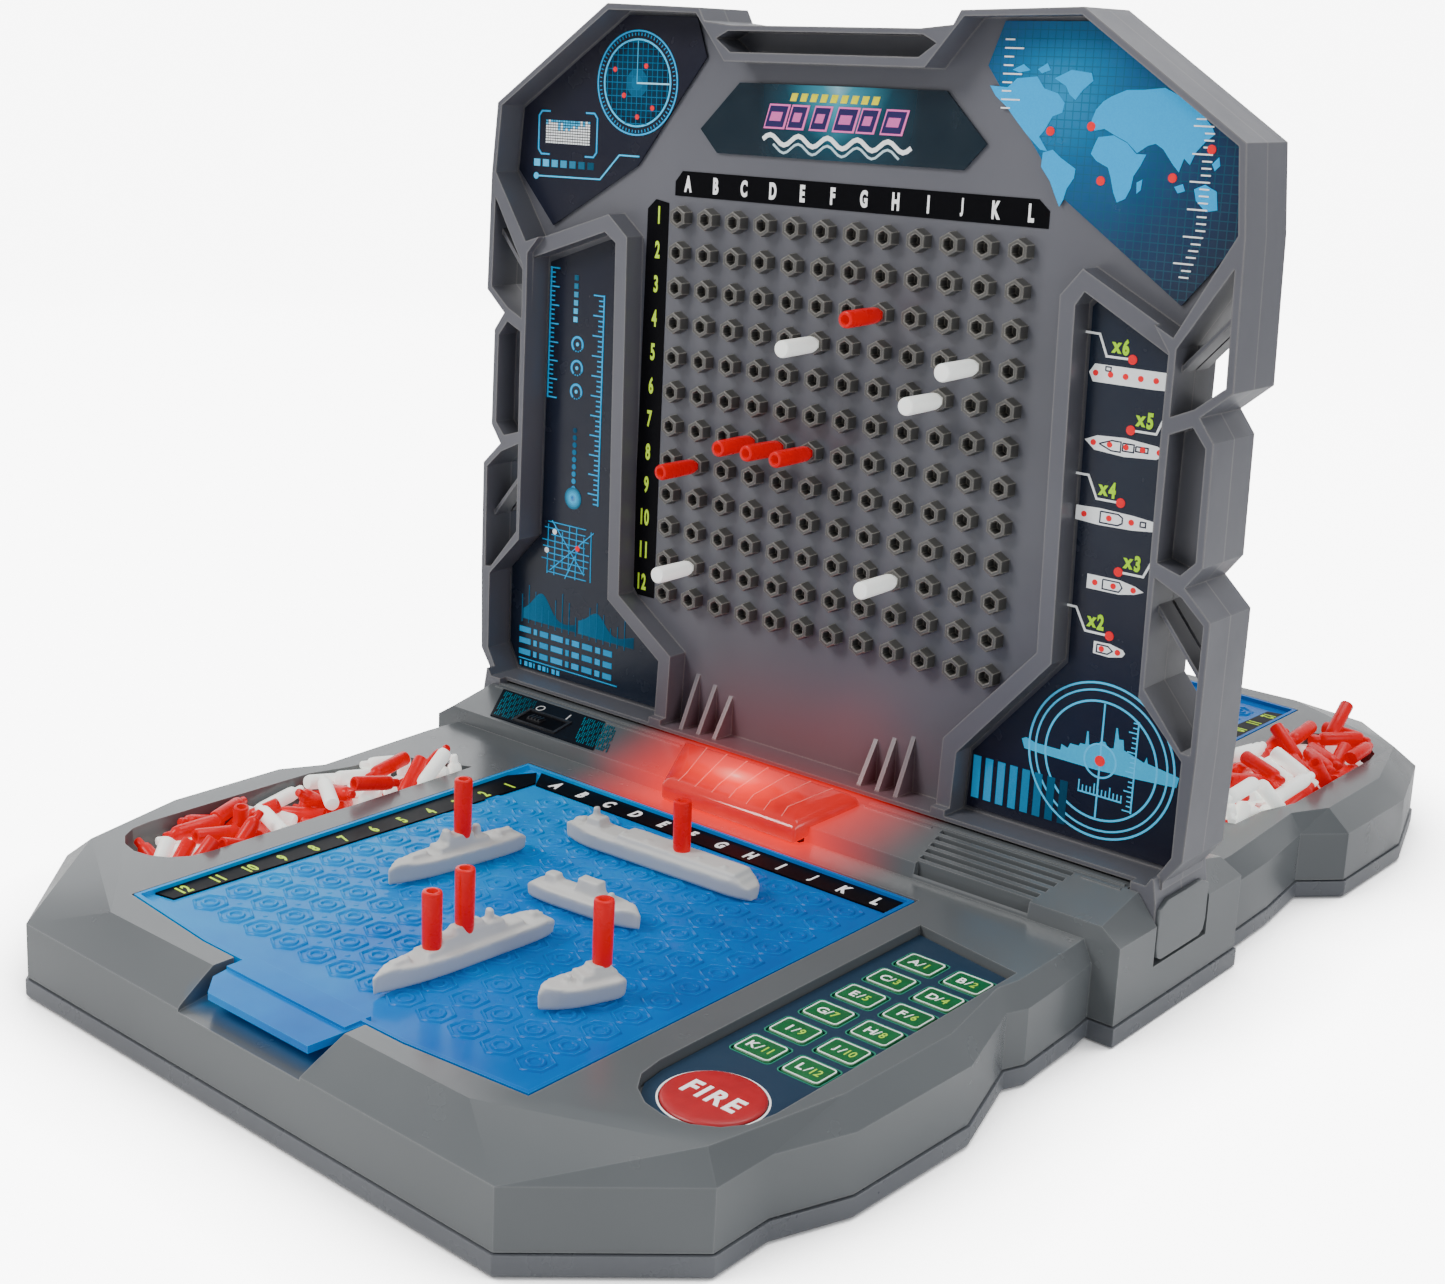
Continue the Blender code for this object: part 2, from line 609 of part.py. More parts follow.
# cells of the right side frame, and the struts across the top and bottom ones
CELL_TOP = [(10.61, 13.95), (11.82, 15.9), (11.90, 13.2), (11.2, 12.63), (10.61, 12.36)]
CELL_MIDDLE = [(10.64, 11.95), (11.2, 12.2), (11.56, 11.75), (11.6, 9.05), (11.25, 8.68),
               (10.64, 8.87)]
CELL_BOTTOM = [(10.62, 8.5), (11.35, 8.15), (11.95, 7.6), (11.95, 4.4), (11.72, 4.42),
               (10.62, 5.75)]
STRUTS = [
    [(10.56, 13.3), (11.96, 14.9), (11.96, 15.15), (10.56, 13.55)],
    [(10.56, 7.9), (12.03, 6.1), (12.03, 5.85), (10.56, 7.65)],
]
# area inside the rim where the ribs stand lower
RIB_AREA = [(-10.42, 1.15), (-10.42, 14.35), (-9.0, 15.9), (9.0, 15.9), (10.42, 13.85),
            (10.42, 1.15)]
# vertical fins at the foot of the screen: left side x, top z
FINS = [(-3.95, 2.6), (-3.3, 2.4), (-2.7, 2.2), (2.4, 2.2), (3.0, 2.4), (3.6, 2.6)]
Y_AHEAD = -2              # start of the cutters that come in from in front of the screen
# printed sheets on the web: material, outline
LABELS = {
    "title_label": ("label_teal", [
        (-3.3, 19.55), (3.35, 19.55), (4.62, 18.3), (4.0, 17.62), (-4.0, 17.62),
        (-4.62, 18.25)]),
    "radar_label": ("label_dark", [
        (-11.68, 16.72), (-11.5, 18.55), (-7.42, 21.3), (-4.9, 21.28), (-4.5, 20.2),
        (-6.9, 17.1), (-10.2, 15.15)]),
    "map_label": ("label_blue", [
        (11.68, 16.72), (11.5, 18.55), (7.42, 21.3), (4.9, 21.28), (4.5, 20.2),
        (6.9, 17.1), (10.2, 14.85)]),
    "gauge_label": ("label_dark", [
        (-5.1, 1.12), (-5.05, 2.75), (-7.15, 4.2), (-7.3, 14.75), (-7.6, 15.0),
        (-10.25, 14.05), (-10.35, 5.6), (-11.6, 4.3), (-11.6, 1.85), (-11.2, 1.12)]),
    "fleet_label": ("label_dark", [
        (5.5, 1.12), (5.57, 2.65), (8.1, 5.65), (7.92, 14.6), (8.1, 14.8), (10.25, 13.6),
        (10.35, 5.6), (11.6, 4.3), (11.6, 1.85), (11.2, 1.12)]),
}


def cut_pockets(shell):
    for outline in (MIDDLE_POCKET, LEFT_POCKET, RIGHT_POCKET, HANDLE_POCKET):
        cut(shell, slab(outline, Y_AHEAD, -WEB_Y))
    # side frames: two open cells and one closed cell between them
    for side in (1, -1):
        cut(shell,
            slab(mirror(CELL_TOP, side), Y_AHEAD, 1),
            slab(mirror(CELL_BOTTOM, side), Y_AHEAD, 1),
            slab(mirror(CELL_MIDDLE, side), Y_AHEAD, -0.3))
    # a diagonal strut across each open cell, set back from the rim
    for side in (1, -1):
        for strut in STRUTS:
            join(shell, slab(mirror(strut, side), -0.7, -0.06))
    cut(shell, slab(RIB_AREA, Y_AHEAD, -RIB_Y))


def add_socket_field(shell):
    """A raised block with one blind hole for each peg position."""
    join(shell, box(GRID_X - GRID_MARGIN, GRID_X + COLS - 1 + GRID_MARGIN,
                    -GRID_Y, -WEB_Y + 0.05,
                    GRID_Z - GRID_MARGIN, GRID_Z + ROWS - 1 + GRID_MARGIN))
    holes = bmesh.new()
    for i in range(COLS):
        for j in range(ROWS):
            x, z = GRID_X + i, GRID_Z + j
            slab(rect(x - HOLE, x + HOLE, z - HOLE, z + HOLE), -1.0, -0.12, holes)
    cut(shell, holes)


def add_fins(shell):
    """Three triangular fins either side of the lens."""
    for left, top in FINS:
        join(shell, rings([[(x, -0.1, 0.9), (x, -0.85, 0.9), (x, -0.1, top)]
                           for x in (left, left + 0.14)]))


def make_screen():
    shell = put("screen_front_shell", slab(FRAME, -RIM_Y, -GAP / 2), "screen_grey")
    for side in (1, -1):
        join(shell, slab(mirror(EAR, side), -EAR_Y, -GAP / 2))
    cut_pockets(shell)
    add_socket_field(shell)
    add_fins(shell)
    rear_copy(shell, "screen_rear_shell")


def make_labels():
    for name, (material, outline) in LABELS.items():
        label = put(name + "_front", slab(outline, -WEB_Y - 0.08, -WEB_Y - GAP), material)
        rear_copy(label, name + "_rear")


make_screen()
make_labels()

# ------------------------------------------------------------------ pegs
# pegs in the front sockets: column 0..11 from the left, row 1..12 from the top
SCREEN_PEGS = {
    "peg_red": [(7, 3), (3, 7), (4, 7), (5, 7), (1, 8)],
    "peg_white": [(5, 4), (10, 4), (9, 5), (8, 10), (1, 11)],
}


def peg_profile(start=0.0):
    """(radius, height) up from the tip, which begins at height start."""
    return [(TIP_R, start), (TIP_R, TIP_L), (PEG_R - 0.02, TIP_L + 0.08),
            (PEG_R, TIP_L + 0.4), (PEG_R, TIP_L + PEG_L)]


def make_screen_pegs():
    profile = [(radius, -height) for radius, height in peg_profile()]
    for material, places in SCREEN_PEGS.items():
        for number, (col, row) in enumerate(places, 1):
            tip = (GRID_X + col, -GRID_Y + TIP_L - GAP, GRID_Z + (ROWS - row))
            put(f"{material}_{number}", turned(profile, 10, tip, axis="y"), material, pivot=tip)


def make_loose_pegs():
    """The loose pegs in each well, as one tapered block."""
    middle = (-9.0, -11.2)
    floor = -1.55
    low = scaled(WELL, middle, 0.90, 0.94)
    heap = put("loose_pegs_front",
               layered((low, floor), (low, -0.45), (scaled(WELL, middle, 0.55, 0.72), 0.15)),
               "peg_red", pivot=(*middle, floor))
    rear_copy(heap, "loose_pegs_rear")


make_screen_pegs()
make_loose_pegs()

# ------------------------------------------------------------------ ships
SHIP_Z = 0.06             # underside of the ships
SHIP_HEIGHT = 0.36        # hull height


def make_ship(name, centre, length, angle, house, pegs=(), beam=0.62):
    """Hull with pointed bow and a deck house.

    The angle is in degrees about Z.  Along the hull from its middle, house is
    (place, length) and pegs are (name, place).
    """
    half, side = length / 2, beam / 2
    hull = [(-half, -0.45 * side), (-half + 0.25, -side), (half - 1.1, -side),
            (half - 0.25, -0.4 * side), (half, 0.0), (half - 0.25, 0.4 * side),
            (half - 1.1, side), (-half + 0.25, side), (-half, 0.45 * side)]
    cos, sin = math.cos(math.radians(angle)), math.sin(math.radians(angle))

    def place(points):
        """From the hull's own axes to the plan."""
        return [(centre[0] + x * cos - y * sin, centre[1] + x * sin + y * cos)
                for x, y in points]

    deck = SHIP_Z + SHIP_HEIGHT
    ship = put(name, layered((place(scaled(hull, (0, 0), 0.95, 0.7)), SHIP_Z),
                             (place(hull), SHIP_Z + 0.2),
                             (place(hull), deck)), "ship_grey", pivot=(*centre, SHIP_Z))
    house_x, house_length = house
    walls = rect(house_x - house_length / 2, house_x + house_length / 2, -0.2, 0.2)
    join(ship, layered((place(walls), SHIP_Z + 0.25),
                       (place(scaled(walls, (house_x, 0), 0.7, 0.8)), deck + 0.3)))
    for peg_name, peg_x in pegs:
        # a peg on the deck house sits higher than one on the hull
        on_house = abs(peg_x - house_x) < house_length / 2 + 0.25
        socket = (*place([(peg_x, 0)])[0], deck - 0.2 + (0.3 if on_house else 0.0))
        hole_r = TIP_R + GAP
        cut(ship, turned([(hole_r, 0.0), (hole_r, 1.0)], 8, socket))
        put(peg_name, turned(peg_profile(start=GAP), 10, socket), "peg_red", pivot=socket)


make_ship("ship_carrier", (0.8, -7.23), length=6.1, angle=183, house=(2.0, 0.35),
          pegs=[("ship_peg_carrier", -0.76)])
make_ship("ship_battleship", (-2.77, -10.93), length=4.25, angle=263.6, house=(0.0, 1.0),
          pegs=[("ship_peg_battleship", -0.18)])
make_ship("ship_cruiser", (1.4, -14.65), length=5.24, angle=266.5, house=(0.0, 0.9),
          pegs=[("ship_peg_cruiser_1", 0.95), ("ship_peg_cruiser_2", 0.0)])
make_ship("ship_submarine", (1.4, -10.61), length=3.3, angle=5.4, house=(0.15, 0.6))
make_ship("ship_patrol", (4.57, -14.17), length=2.1, angle=251.4, house=(-0.45, 0.5),
          pegs=[("ship_peg_patrol", -0.53)], beam=0.7)

# ------------------------------------------------------------------ shading
for piece in bpy.data.objects:
    piece.data.shade_smooth()
    piece.data.set_sharp_from_angle(angle=math.radians(30))
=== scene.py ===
# Two-player fleet guessing game in a folding-table case, dressed around its CAD frame.
# X runs along the screen, +Z is up, and the front player sits at -Y. The screen stands in
# the XZ plane between the players. The rear player's pieces are the front ones given a
# half turn about Z. Shapes are drawn in modules of one peg pitch, with height 0 on the deck.
import bpy
import bmesh
import math
import random
from mathutils import Vector, Matrix, Euler, Quaternion


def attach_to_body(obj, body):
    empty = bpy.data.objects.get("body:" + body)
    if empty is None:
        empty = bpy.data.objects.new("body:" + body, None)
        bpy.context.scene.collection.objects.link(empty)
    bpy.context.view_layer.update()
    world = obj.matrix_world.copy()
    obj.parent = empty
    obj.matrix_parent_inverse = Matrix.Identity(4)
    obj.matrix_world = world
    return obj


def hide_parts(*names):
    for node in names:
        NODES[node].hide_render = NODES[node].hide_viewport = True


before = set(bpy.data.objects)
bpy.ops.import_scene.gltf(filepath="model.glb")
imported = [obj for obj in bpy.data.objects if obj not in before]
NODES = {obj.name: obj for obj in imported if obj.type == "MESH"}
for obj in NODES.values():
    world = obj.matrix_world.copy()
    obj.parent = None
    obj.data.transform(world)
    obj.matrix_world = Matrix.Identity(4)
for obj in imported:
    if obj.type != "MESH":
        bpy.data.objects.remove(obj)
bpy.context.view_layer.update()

MODULE = 0.010      # metres in one peg pitch
DECK_Z = 2.45       # deck height above the table, in modules
HALF_TURN = Matrix.Rotation(math.pi, 4, "Z")
MELD = 2e-6         # vertices closer than this are one, in metres
LETTERS = "ABCDEFGHIJKL"
CELLS = 12          # peg holes along each side of a board


def metres_up(z):
    """World height of a drawn height."""
    return (z + DECK_Z) * MODULE


# ================================================================== materials
MAT = {}            # material name -> material


class Graph:
    """A material's nodes, ending in one Principled shader. Textures use object space."""

    def __init__(self, name):
        material = MAT[name] = bpy.data.materials.new(name)
        material.use_nodes = True
        self.tree = material.node_tree
        self.tree.nodes.clear()
        output = self.node("OutputMaterial")
        self.shader = self.node("BsdfPrincipled")
        self.feed(output.inputs[0], self.shader.outputs[0])
        self.place = self.node("TexCoord").outputs["Object"]

    def feed(self, socket, value):
        """Links a socket, or sets a plain value; colours are given as RGB."""
        if isinstance(value, bpy.types.NodeSocket):
            self.tree.links.new(value, socket)
        else:
            socket.default_value = (*value, 1) if socket.type == "RGBA" else value

    def node(self, kind, inputs=None, **settings):
        made = self.tree.nodes.new("ShaderNode" + kind)
        for key, value in settings.items():
            setattr(made, key, value)
        for key, value in (inputs or {}).items():
            self.feed(made.inputs[key], value)
        return made

    def set(self, **inputs):
        """Shader inputs, with underscores for the spaces in their names."""
        for key, value in inputs.items():
            self.feed(self.shader.inputs[key.replace("_", " ")], value)

    def noise(self, scale, detail=3.0, rough=0.5):
        return self.node("TexNoise", {"Vector": self.place, "Scale": scale, "Detail": detail,
                                      "Roughness": rough}).outputs["Fac"]

    def ramp(self, factor, *stops):
        made = self.node("ValToRGB", {0: factor})
        elements = made.color_ramp.elements
        while len(elements) < len(stops):
            elements.new(0.5)
        for element, (position, colour) in zip(elements, stops):
            element.position = position
            element.color = (*colour, 1)
        return made.outputs[0]

    def tones(self, factor, low, high, start=0.3, end=0.7):
        return self.ramp(factor, (start, low), (end, high))

    def remap(self, factor, start, end, low, high):
        return self.node("MapRange", {0: factor, 1: start, 2: end, 3: low, 4: high}).outputs[0]

    def mix(self, factor, first, second, mode="MIX"):
        return self.node("Mix", {0: factor, 6: first, 7: second},
                         data_type="RGBA", blend_type=mode).outputs[2]

    def math(self, operation, *values):
        return self.node("Math", dict(enumerate(values)), operation=operation).outputs[0]

    def vector(self, operation, first, second):
        return self.node("VectorMath", {0: first, 1: second}, operation=operation).outputs

    def xyz(self, vector=None):
        return self.node("SeparateXYZ", {0: vector or self.place}).outputs

    def beyond(self, coordinate, half):
        """How far a coordinate lies outside -half to half."""
        size = self.math("ABSOLUTE", coordinate)
        return self.math("MAXIMUM", self.math("SUBTRACT", size, half), 0.0)

    def length(self, *parts):
        squares = [self.math("MULTIPLY", part, part) for part in parts]
        total = squares[0]
        for square in squares[1:]:
            total = self.math("ADD", total, square)
        return self.math("SQRT", total)

    def bump(self, scale, depth, strength, detail=2):
        height = self.noise(scale, detail)
        self.set(Normal=self.node("Bump", {"Strength": strength, "Distance": depth,
                                           "Height": height}).outputs[0])

    def gloss(self, low, high, scale, detail=3, rough=0.5):
        """Roughness drifting between low and high."""
        self.set(Roughness=self.remap(self.noise(scale, detail, rough), 0.3, 0.7, low, high))

    def edge(self, radius):
        """1 on sharp edges, 0 on flats."""
        bevel = self.node("Bevel", {0: radius}, samples=6)
        normal = self.node("NewGeometry").outputs["Normal"]
        dot = self.vector("DOT_PRODUCT", bevel.outputs[0], normal)["Value"]
        return self.remap(dot, 0.995, 0.80, 0.0, 1.0)


def thrown_light(g, base, glow, tint):
    """Painted red light thrown by the signal lens, and painted blue light in the notches below
    the tray tabs.
    """
    x, y, z = g.xyz()
    away = g.length(g.beyond(x, 0.021),
                    g.beyond(g.math("SUBTRACT", g.math("ABSOLUTE", y), 0.026), 0.008),
                    g.math("MAXIMUM", g.math("SUBTRACT", z, 0.034), 0.0))
    # painted red light: base tinted red and a red glow near the lens
    red = g.math("POWER", g.remap(away, 0.0, 0.036, 1.0, 0.0), 1.8)
    base = g.mix(g.math("MULTIPLY", red, tint), base, (0.55, 0.004, 0.004))
    g.set(Emission_Color=(1.0, 0.012, 0.008), Emission_Strength=g.math("MULTIPLY", red, glow))
    # painted blue light from the tray, low in the notches under its tabs
    away = g.length(g.beyond(x, 0.018),
                    g.beyond(g.math("SUBTRACT", g.math("ABSOLUTE", y), 0.1885), 0.005))
    low = g.remap(z, metres_up(-0.5), metres_up(-0.12), 1.0, 0.0)
    blue = g.math("MULTIPLY", g.remap(away, 0.0, 0.006, 1.0, 0.0), low)
    return g.mix(g.math("MULTIPLY", blue, 0.85), base, (0.0, 0.13, 0.32))


def moulded(name, dark, light, edge, rough, grain=1.0, edge_radius=0.0009, edge_highlight_mix=0.55,
            thrown=None, **inputs):
    """Moulded plastic: slow tone drift, fine grain, and sharp edges paled toward the edge colour
    as a painted highlight.
    """
    g = Graph(name)
    base = g.tones(g.noise(11, detail=2, rough=0.45), dark, light, start=0.32, end=0.70)
    fine = g.tones(g.noise(700, detail=2, rough=0.6), dark, light)
    base = g.mix(0.03, base, fine, "OVERLAY")
    # painted highlight: sharp edges are lightened toward the edge colour
    base = g.mix(g.math("MULTIPLY", g.edge(edge_radius), edge_highlight_mix), base, edge)
    if thrown:
        base = thrown_light(g, base, **thrown)
    g.gloss(*rough, scale=60, detail=4, rough=0.6)
    g.bump(1100, depth=0.000010 * grain, strength=0.35)
    g.set(Base_Color=base, IOR=1.5, **inputs)


# edge is the colour of the painted highlight on sharp edges
moulded("case_plastic", dark=(0.086, 0.094, 0.100), light=(0.116, 0.126, 0.132),
        edge=(0.34, 0.35, 0.35), rough=(0.20, 0.28), edge_radius=0.0007, edge_highlight_mix=0.32,
        thrown=dict(glow=1.0, tint=0.9))
moulded("cover_plastic", dark=(0.088, 0.094, 0.106), light=(0.114, 0.122, 0.136),
        edge=(0.30, 0.31, 0.32), rough=(0.24, 0.34), edge_radius=0.0006, edge_highlight_mix=0.25)
moulded("screen_plastic", dark=(0.086, 0.088, 0.104), light=(0.122, 0.124, 0.142),
        edge=(0.34, 0.32, 0.29), rough=(0.32, 0.44), edge_highlight_mix=0.45,
        thrown=dict(glow=0.04, tint=0.35))
moulded("socket_plastic", dark=(0.058, 0.057, 0.053), light=(0.080, 0.079, 0.073),
        edge=(0.46, 0.43, 0.38), rough=(0.33, 0.43), edge_radius=0.0006, edge_highlight_mix=0.9)
moulded("ship_plastic", dark=(0.50, 0.50, 0.485), light=(0.60, 0.60, 0.58),
        edge=(0.72, 0.72, 0.70), rough=(0.45, 0.58), grain=2.0,
        Subsurface_Weight=0.15, Subsurface_Radius=(0.002, 0.002, 0.002))


def peg_plastic(name, colour, deep, subsurface, glow):
    g = Graph(name)
    g.set(Base_Color=g.tones(g.noise(180, detail=2), deep, colour))
    g.gloss(0.22, 0.36, scale=400)
    g.bump(1500, depth=0.00001, strength=0.5)
    # glow makes the pegs shine in their own colour: painted light
    g.set(Subsurface_Weight=subsurface, Subsurface_Radius=(0.0022, 0.0016, 0.0014), IOR=1.49,
          Specular_IOR_Level=0.22, Coat_Roughness=0.2,
          Emission_Color=colour, Emission_Strength=glow)


peg_plastic("peg_red_plastic", colour=(0.56, 0.0, 0.003), deep=(0.48, 0.0, 0.002),
            subsurface=0.0, glow=0.46)
peg_plastic("peg_white_plastic", colour=(0.92, 0.94, 0.90), deep=(0.84, 0.87, 0.82),
            subsurface=0.25, glow=0.55)


def printed_ink():
    """Each face carries its own colour in the attribute "ink"."""
    g = Graph("printed_ink")
    ink_colour = g.node("Attribute", attribute_name="ink").outputs["Color"]
    speck = g.tones(g.noise(3000, detail=2), (0.25,) * 3, (0.9,) * 3, start=0.35, end=0.65)
    # the ink also glows faintly in its own colour: painted light
    g.set(Base_Color=g.mix(0.10, ink_colour, speck, "OVERLAY"),
          Emission_Color=g.mix(1.0, ink_colour, (0.55, 0.55, 0.55), "MULTIPLY"),
          Emission_Strength=0.35, Specular_IOR_Level=0.03)
    g.gloss(0.28, 0.36, scale=90)


def sheet(name, low, high, rough=0.24):
    """Printed ground with a slow vertical fade from low to high."""
    g = Graph(name)
    base = g.tones(g.remap(g.xyz()[2], 0.03, 0.24, 0.0, 1.0), low, high, start=0.0, end=1.0)
    cloud = g.tones(g.noise(45, detail=4, rough=0.6), low, high, start=0.35, end=0.75)
    g.set(Base_Color=g.mix(0.25, base, cloud), Specular_IOR_Level=0.3)
    g.gloss(rough - 0.04, rough + 0.05, scale=120)
    g.bump(900, depth=0.000008, strength=0.5)


def chart_sheet(name, side):
    """Blue sea chart: bright high in the middle, night blue outside, with a fine grid."""
    g = Graph(name)
    x, y, z = g.xyz()
    centre = (side * 0.066, -side * 0.002, metres_up(19.6))
    away = g.vector("DISTANCE", g.place, centre)["Value"]
    base = g.ramp(g.remap(away, 0.0, 0.062, 1.0, 0.0),
                  (0.0, (0.0, 0.006, 0.028)), (0.35, (0.0, 0.030, 0.095)),
                  (0.7, (0.0, 0.095, 0.25)), (1.0, (0.004, 0.24, 0.50)))

    def lines(coordinate, spacing=0.0021, width=0.12):
        step = g.math("FRACT", g.math("MULTIPLY", coordinate, 1 / spacing))
        return g.math("LESS_THAN", step, width)
    grid = g.math("MAXIMUM", lines(x), lines(z))
    g.set(Base_Color=g.mix(g.math("MULTIPLY", grid, 0.55), base, (0.0, 0.085, 0.13)))
    g.gloss(0.2, 0.28, scale=120)


def title_sheet():
    """Teal, palest at the middle of the top."""
    g = Graph("title_sheet")
    x, y, z = g.xyz()
    middle = g.remap(g.math("ABSOLUTE", x), 0.0, 0.026, 1.0, 0.0)
    high = g.remap(z, metres_up(17.6), metres_up(19.6), 0.25, 1.0)
    g.set(Base_Color=g.ramp(g.math("MULTIPLY", g.math("POWER", middle, 0.9), high),
                            (0.0, (0.0, 0.010, 0.020)), (0.35, (0.0, 0.045, 0.075)),
                            (0.8, (0.05, 0.34, 0.46)), (1.0, (0.40, 0.76, 0.86))))
    g.gloss(0.2, 0.28, scale=120)


def speckled(name, dark, light, scale, rough, rough_scale, bump_scale, depth, detail=3,
             bump_detail=2, **inputs):
    """Plain finish for keys and small hardware; rough is a low and a high."""
    g = Graph(name)
    g.set(Base_Color=g.tones(g.noise(scale, detail), dark, light), **inputs)
    g.gloss(*rough, scale=rough_scale)
    g.bump(bump_scale, depth=depth, strength=0.6, detail=bump_detail)


def ocean_blue():
    """Tinted sheet, paler to -X where painted light falls, with painted highlights on its edges
    and a faint painted glow in its own colour.
    """
    g = Graph("ocean_blue")
    left = g.remap(g.xyz()[0], -0.067, 0.067, 1.0, 0.0)
    cloud = g.noise(38, detail=3, rough=0.55)
    shade = g.math("ADD", g.math("MULTIPLY", left, 0.55), g.math("MULTIPLY", cloud, 0.5))
    base = g.ramp(shade, (0.15, (0.0, 0.070, 0.29)), (0.5, (0.0, 0.125, 0.42)),
                  (0.9, (0.0, 0.25, 0.56)))
    # painted highlight: the relief's sharp edges are lightened
    base = g.mix(g.math("MULTIPLY", g.edge(0.00035), 0.45), base, (0.02, 0.34, 0.70))
    # the sheet also glows faintly in its own colour: painted light
    g.set(Base_Color=base, Roughness=0.18, IOR=1.40, Specular_IOR_Level=0.10,
          Coat_Roughness=0.12, Subsurface_Weight=0.15,
          Subsurface_Radius=(0.001, 0.003, 0.006), Emission_Color=base, Emission_Strength=0.30)
    g.bump(160, depth=0.00012, strength=0.4)


def signal_red():
    """Lit lens with one hot spot on each player's side, drawn out along X."""
    g = Graph("signal_red")
    squeezed = g.vector("MULTIPLY", g.place, (0.42, 1.0, 1.0))[0]
    x, y, z = g.xyz(squeezed)
    folded = g.node("CombineXYZ", {0: g.math("MULTIPLY", x, g.math("SIGN", y)),
                                   1: g.math("ABSOLUTE", y), 2: z}).outputs[0]
    away = g.vector("DISTANCE", folded, (0.0018, 0.0255, metres_up(0.85)))["Value"]
    hot = g.remap(away, 0.0, 0.0105, 1.0, 0.0)
    glow = g.ramp(g.math("POWER", hot, 1.6),
                  (0.0, (0.80, 0.014, 0.010)), (0.5, (0.95, 0.035, 0.022)),
                  (0.85, (1.0, 0.24, 0.18)), (1.0, (1.0, 0.66, 0.56)))
    # painted highlight: the lens edges are paled toward pink
    rim = g.math("MULTIPLY", g.edge(0.0012), 0.8)
    body = g.tones(g.noise(90), (0.50, 0.010, 0.010), (0.62, 0.020, 0.018))
    g.set(Emission_Color=glow, Emission_Strength=g.remap(hot, 0.0, 1.0, 0.36, 1.7),
          Base_Color=g.mix(rim, body, (1.0, 0.42, 0.36)), Roughness=0.14,
          Transmission_Weight=0.10, Coat_Weight=0.35, Coat_Roughness=0.08)
    g.bump(500, depth=0.00003, strength=0.4)


printed_ink()
sheet("dark_sheet", low=(0.006, 0.012, 0.026), high=(0.013, 0.012, 0.022))
sheet("fleet_sheet", low=(0.010, 0.010, 0.022), high=(0.008, 0.020, 0.040))
sheet("slate_sheet", low=(0.012, 0.034, 0.066), high=(0.016, 0.040, 0.074), rough=0.34)
chart_sheet("chart_sheet", side=1)
chart_sheet("chart_sheet_rear", side=-1)
title_sheet()
speckled("key_green", dark=(0.0, 0.095, 0.022), light=(0.0, 0.125, 0.030), scale=300,
         rough=(0.34, 0.46), rough_scale=600, bump_scale=1800, depth=0.00001)
speckled("fire_red", dark=(0.36, 0.003, 0.008), light=(0.44, 0.004, 0.010), scale=200,
         rough=(0.34, 0.44), rough_scale=600, bump_scale=1800, depth=0.00001)
ocean_blue()
signal_red()
# name, dark, light, roughness, metallic
for key, dark, light, rough, metal in (
        ("black", (0.008, 0.008, 0.010), (0.016, 0.016, 0.019), 0.42, 0.0),
        ("steel", (0.42, 0.42, 0.43), (0.62, 0.62, 0.63), 0.28, 1.0),
        ("cell", (0.015, 0.03, 0.05), (0.03, 0.05, 0.08), 0.3, 0.0),
        ("board", (0.010, 0.09, 0.035), (0.02, 0.14, 0.05), 0.35, 0.0),
        ("cone", (0.010, 0.010, 0.010), (0.03, 0.03, 0.03), 0.7, 0.0)):
    speckled(key + "_finish", dark, light, scale=220, detail=4,
             rough=(rough - 0.06, rough + 0.08), rough_scale=700,
             bump_scale=1600, depth=0.000012, bump_detail=3, Metallic=metal)


# ================================================================== outlines and solids
def rectangle(x0, y0, x1, y1):
    return [(x0, y0), (x1, y0), (x1, y1), (x0, y1)]


def arc(cx, cy, radius, start, end, steps, radius_y=None):
    radius_y = radius if radius_y is None else radius_y
    angles = [math.radians(start + (end - start) * i / steps) for i in range(steps + 1)]
    return [(cx + radius * math.cos(a), cy + radius_y * math.sin(a)) for a in angles]


def circle(cx, cy, radius, sides, radius_y=None):
    return arc(cx, cy, radius, 0, 360 - 360 / sides, sides - 1, radius_y)


def flip(points, side):
    """The outline itself for side 1, mirrored in X for side -1."""
    return [(side * x, z) for x, z in points]


def at_z(points, z):
    return [(x, y, z) for x, y in points]


def loft_faces(bm, loops):
    """Closed skin over a row of loops; returns its faces."""
    rows = [[bm.verts.new(point) for point in loop] for loop in loops]
    count = len(loops[0])
    faces = [bm.faces.new(rows[0][::-1]), bm.faces.new(rows[-1])]
    for low, high in zip(rows, rows[1:]):
        for i in range(count):
            j = (i + 1) % count
            faces.append(bm.faces.new((low[i], low[j], high[j], high[i])))
    return faces


def loft(loops, bm=None):
    bm = bm or bmesh.new()
    loft_faces(bm, loops)
    return bm


def extrude_z(points, z0, z1, bm=None):
    return loft([at_z(points, z0), at_z(points, z1)], bm)


def extrude_y(points, y0, y1):
    return loft([[(x, y, z) for x, z in points] for y in (y0, y1)])


def extrude_x(points, x0, x1):
    return loft([[(x, y, z) for y, z in points] for x in (x0, x1)])


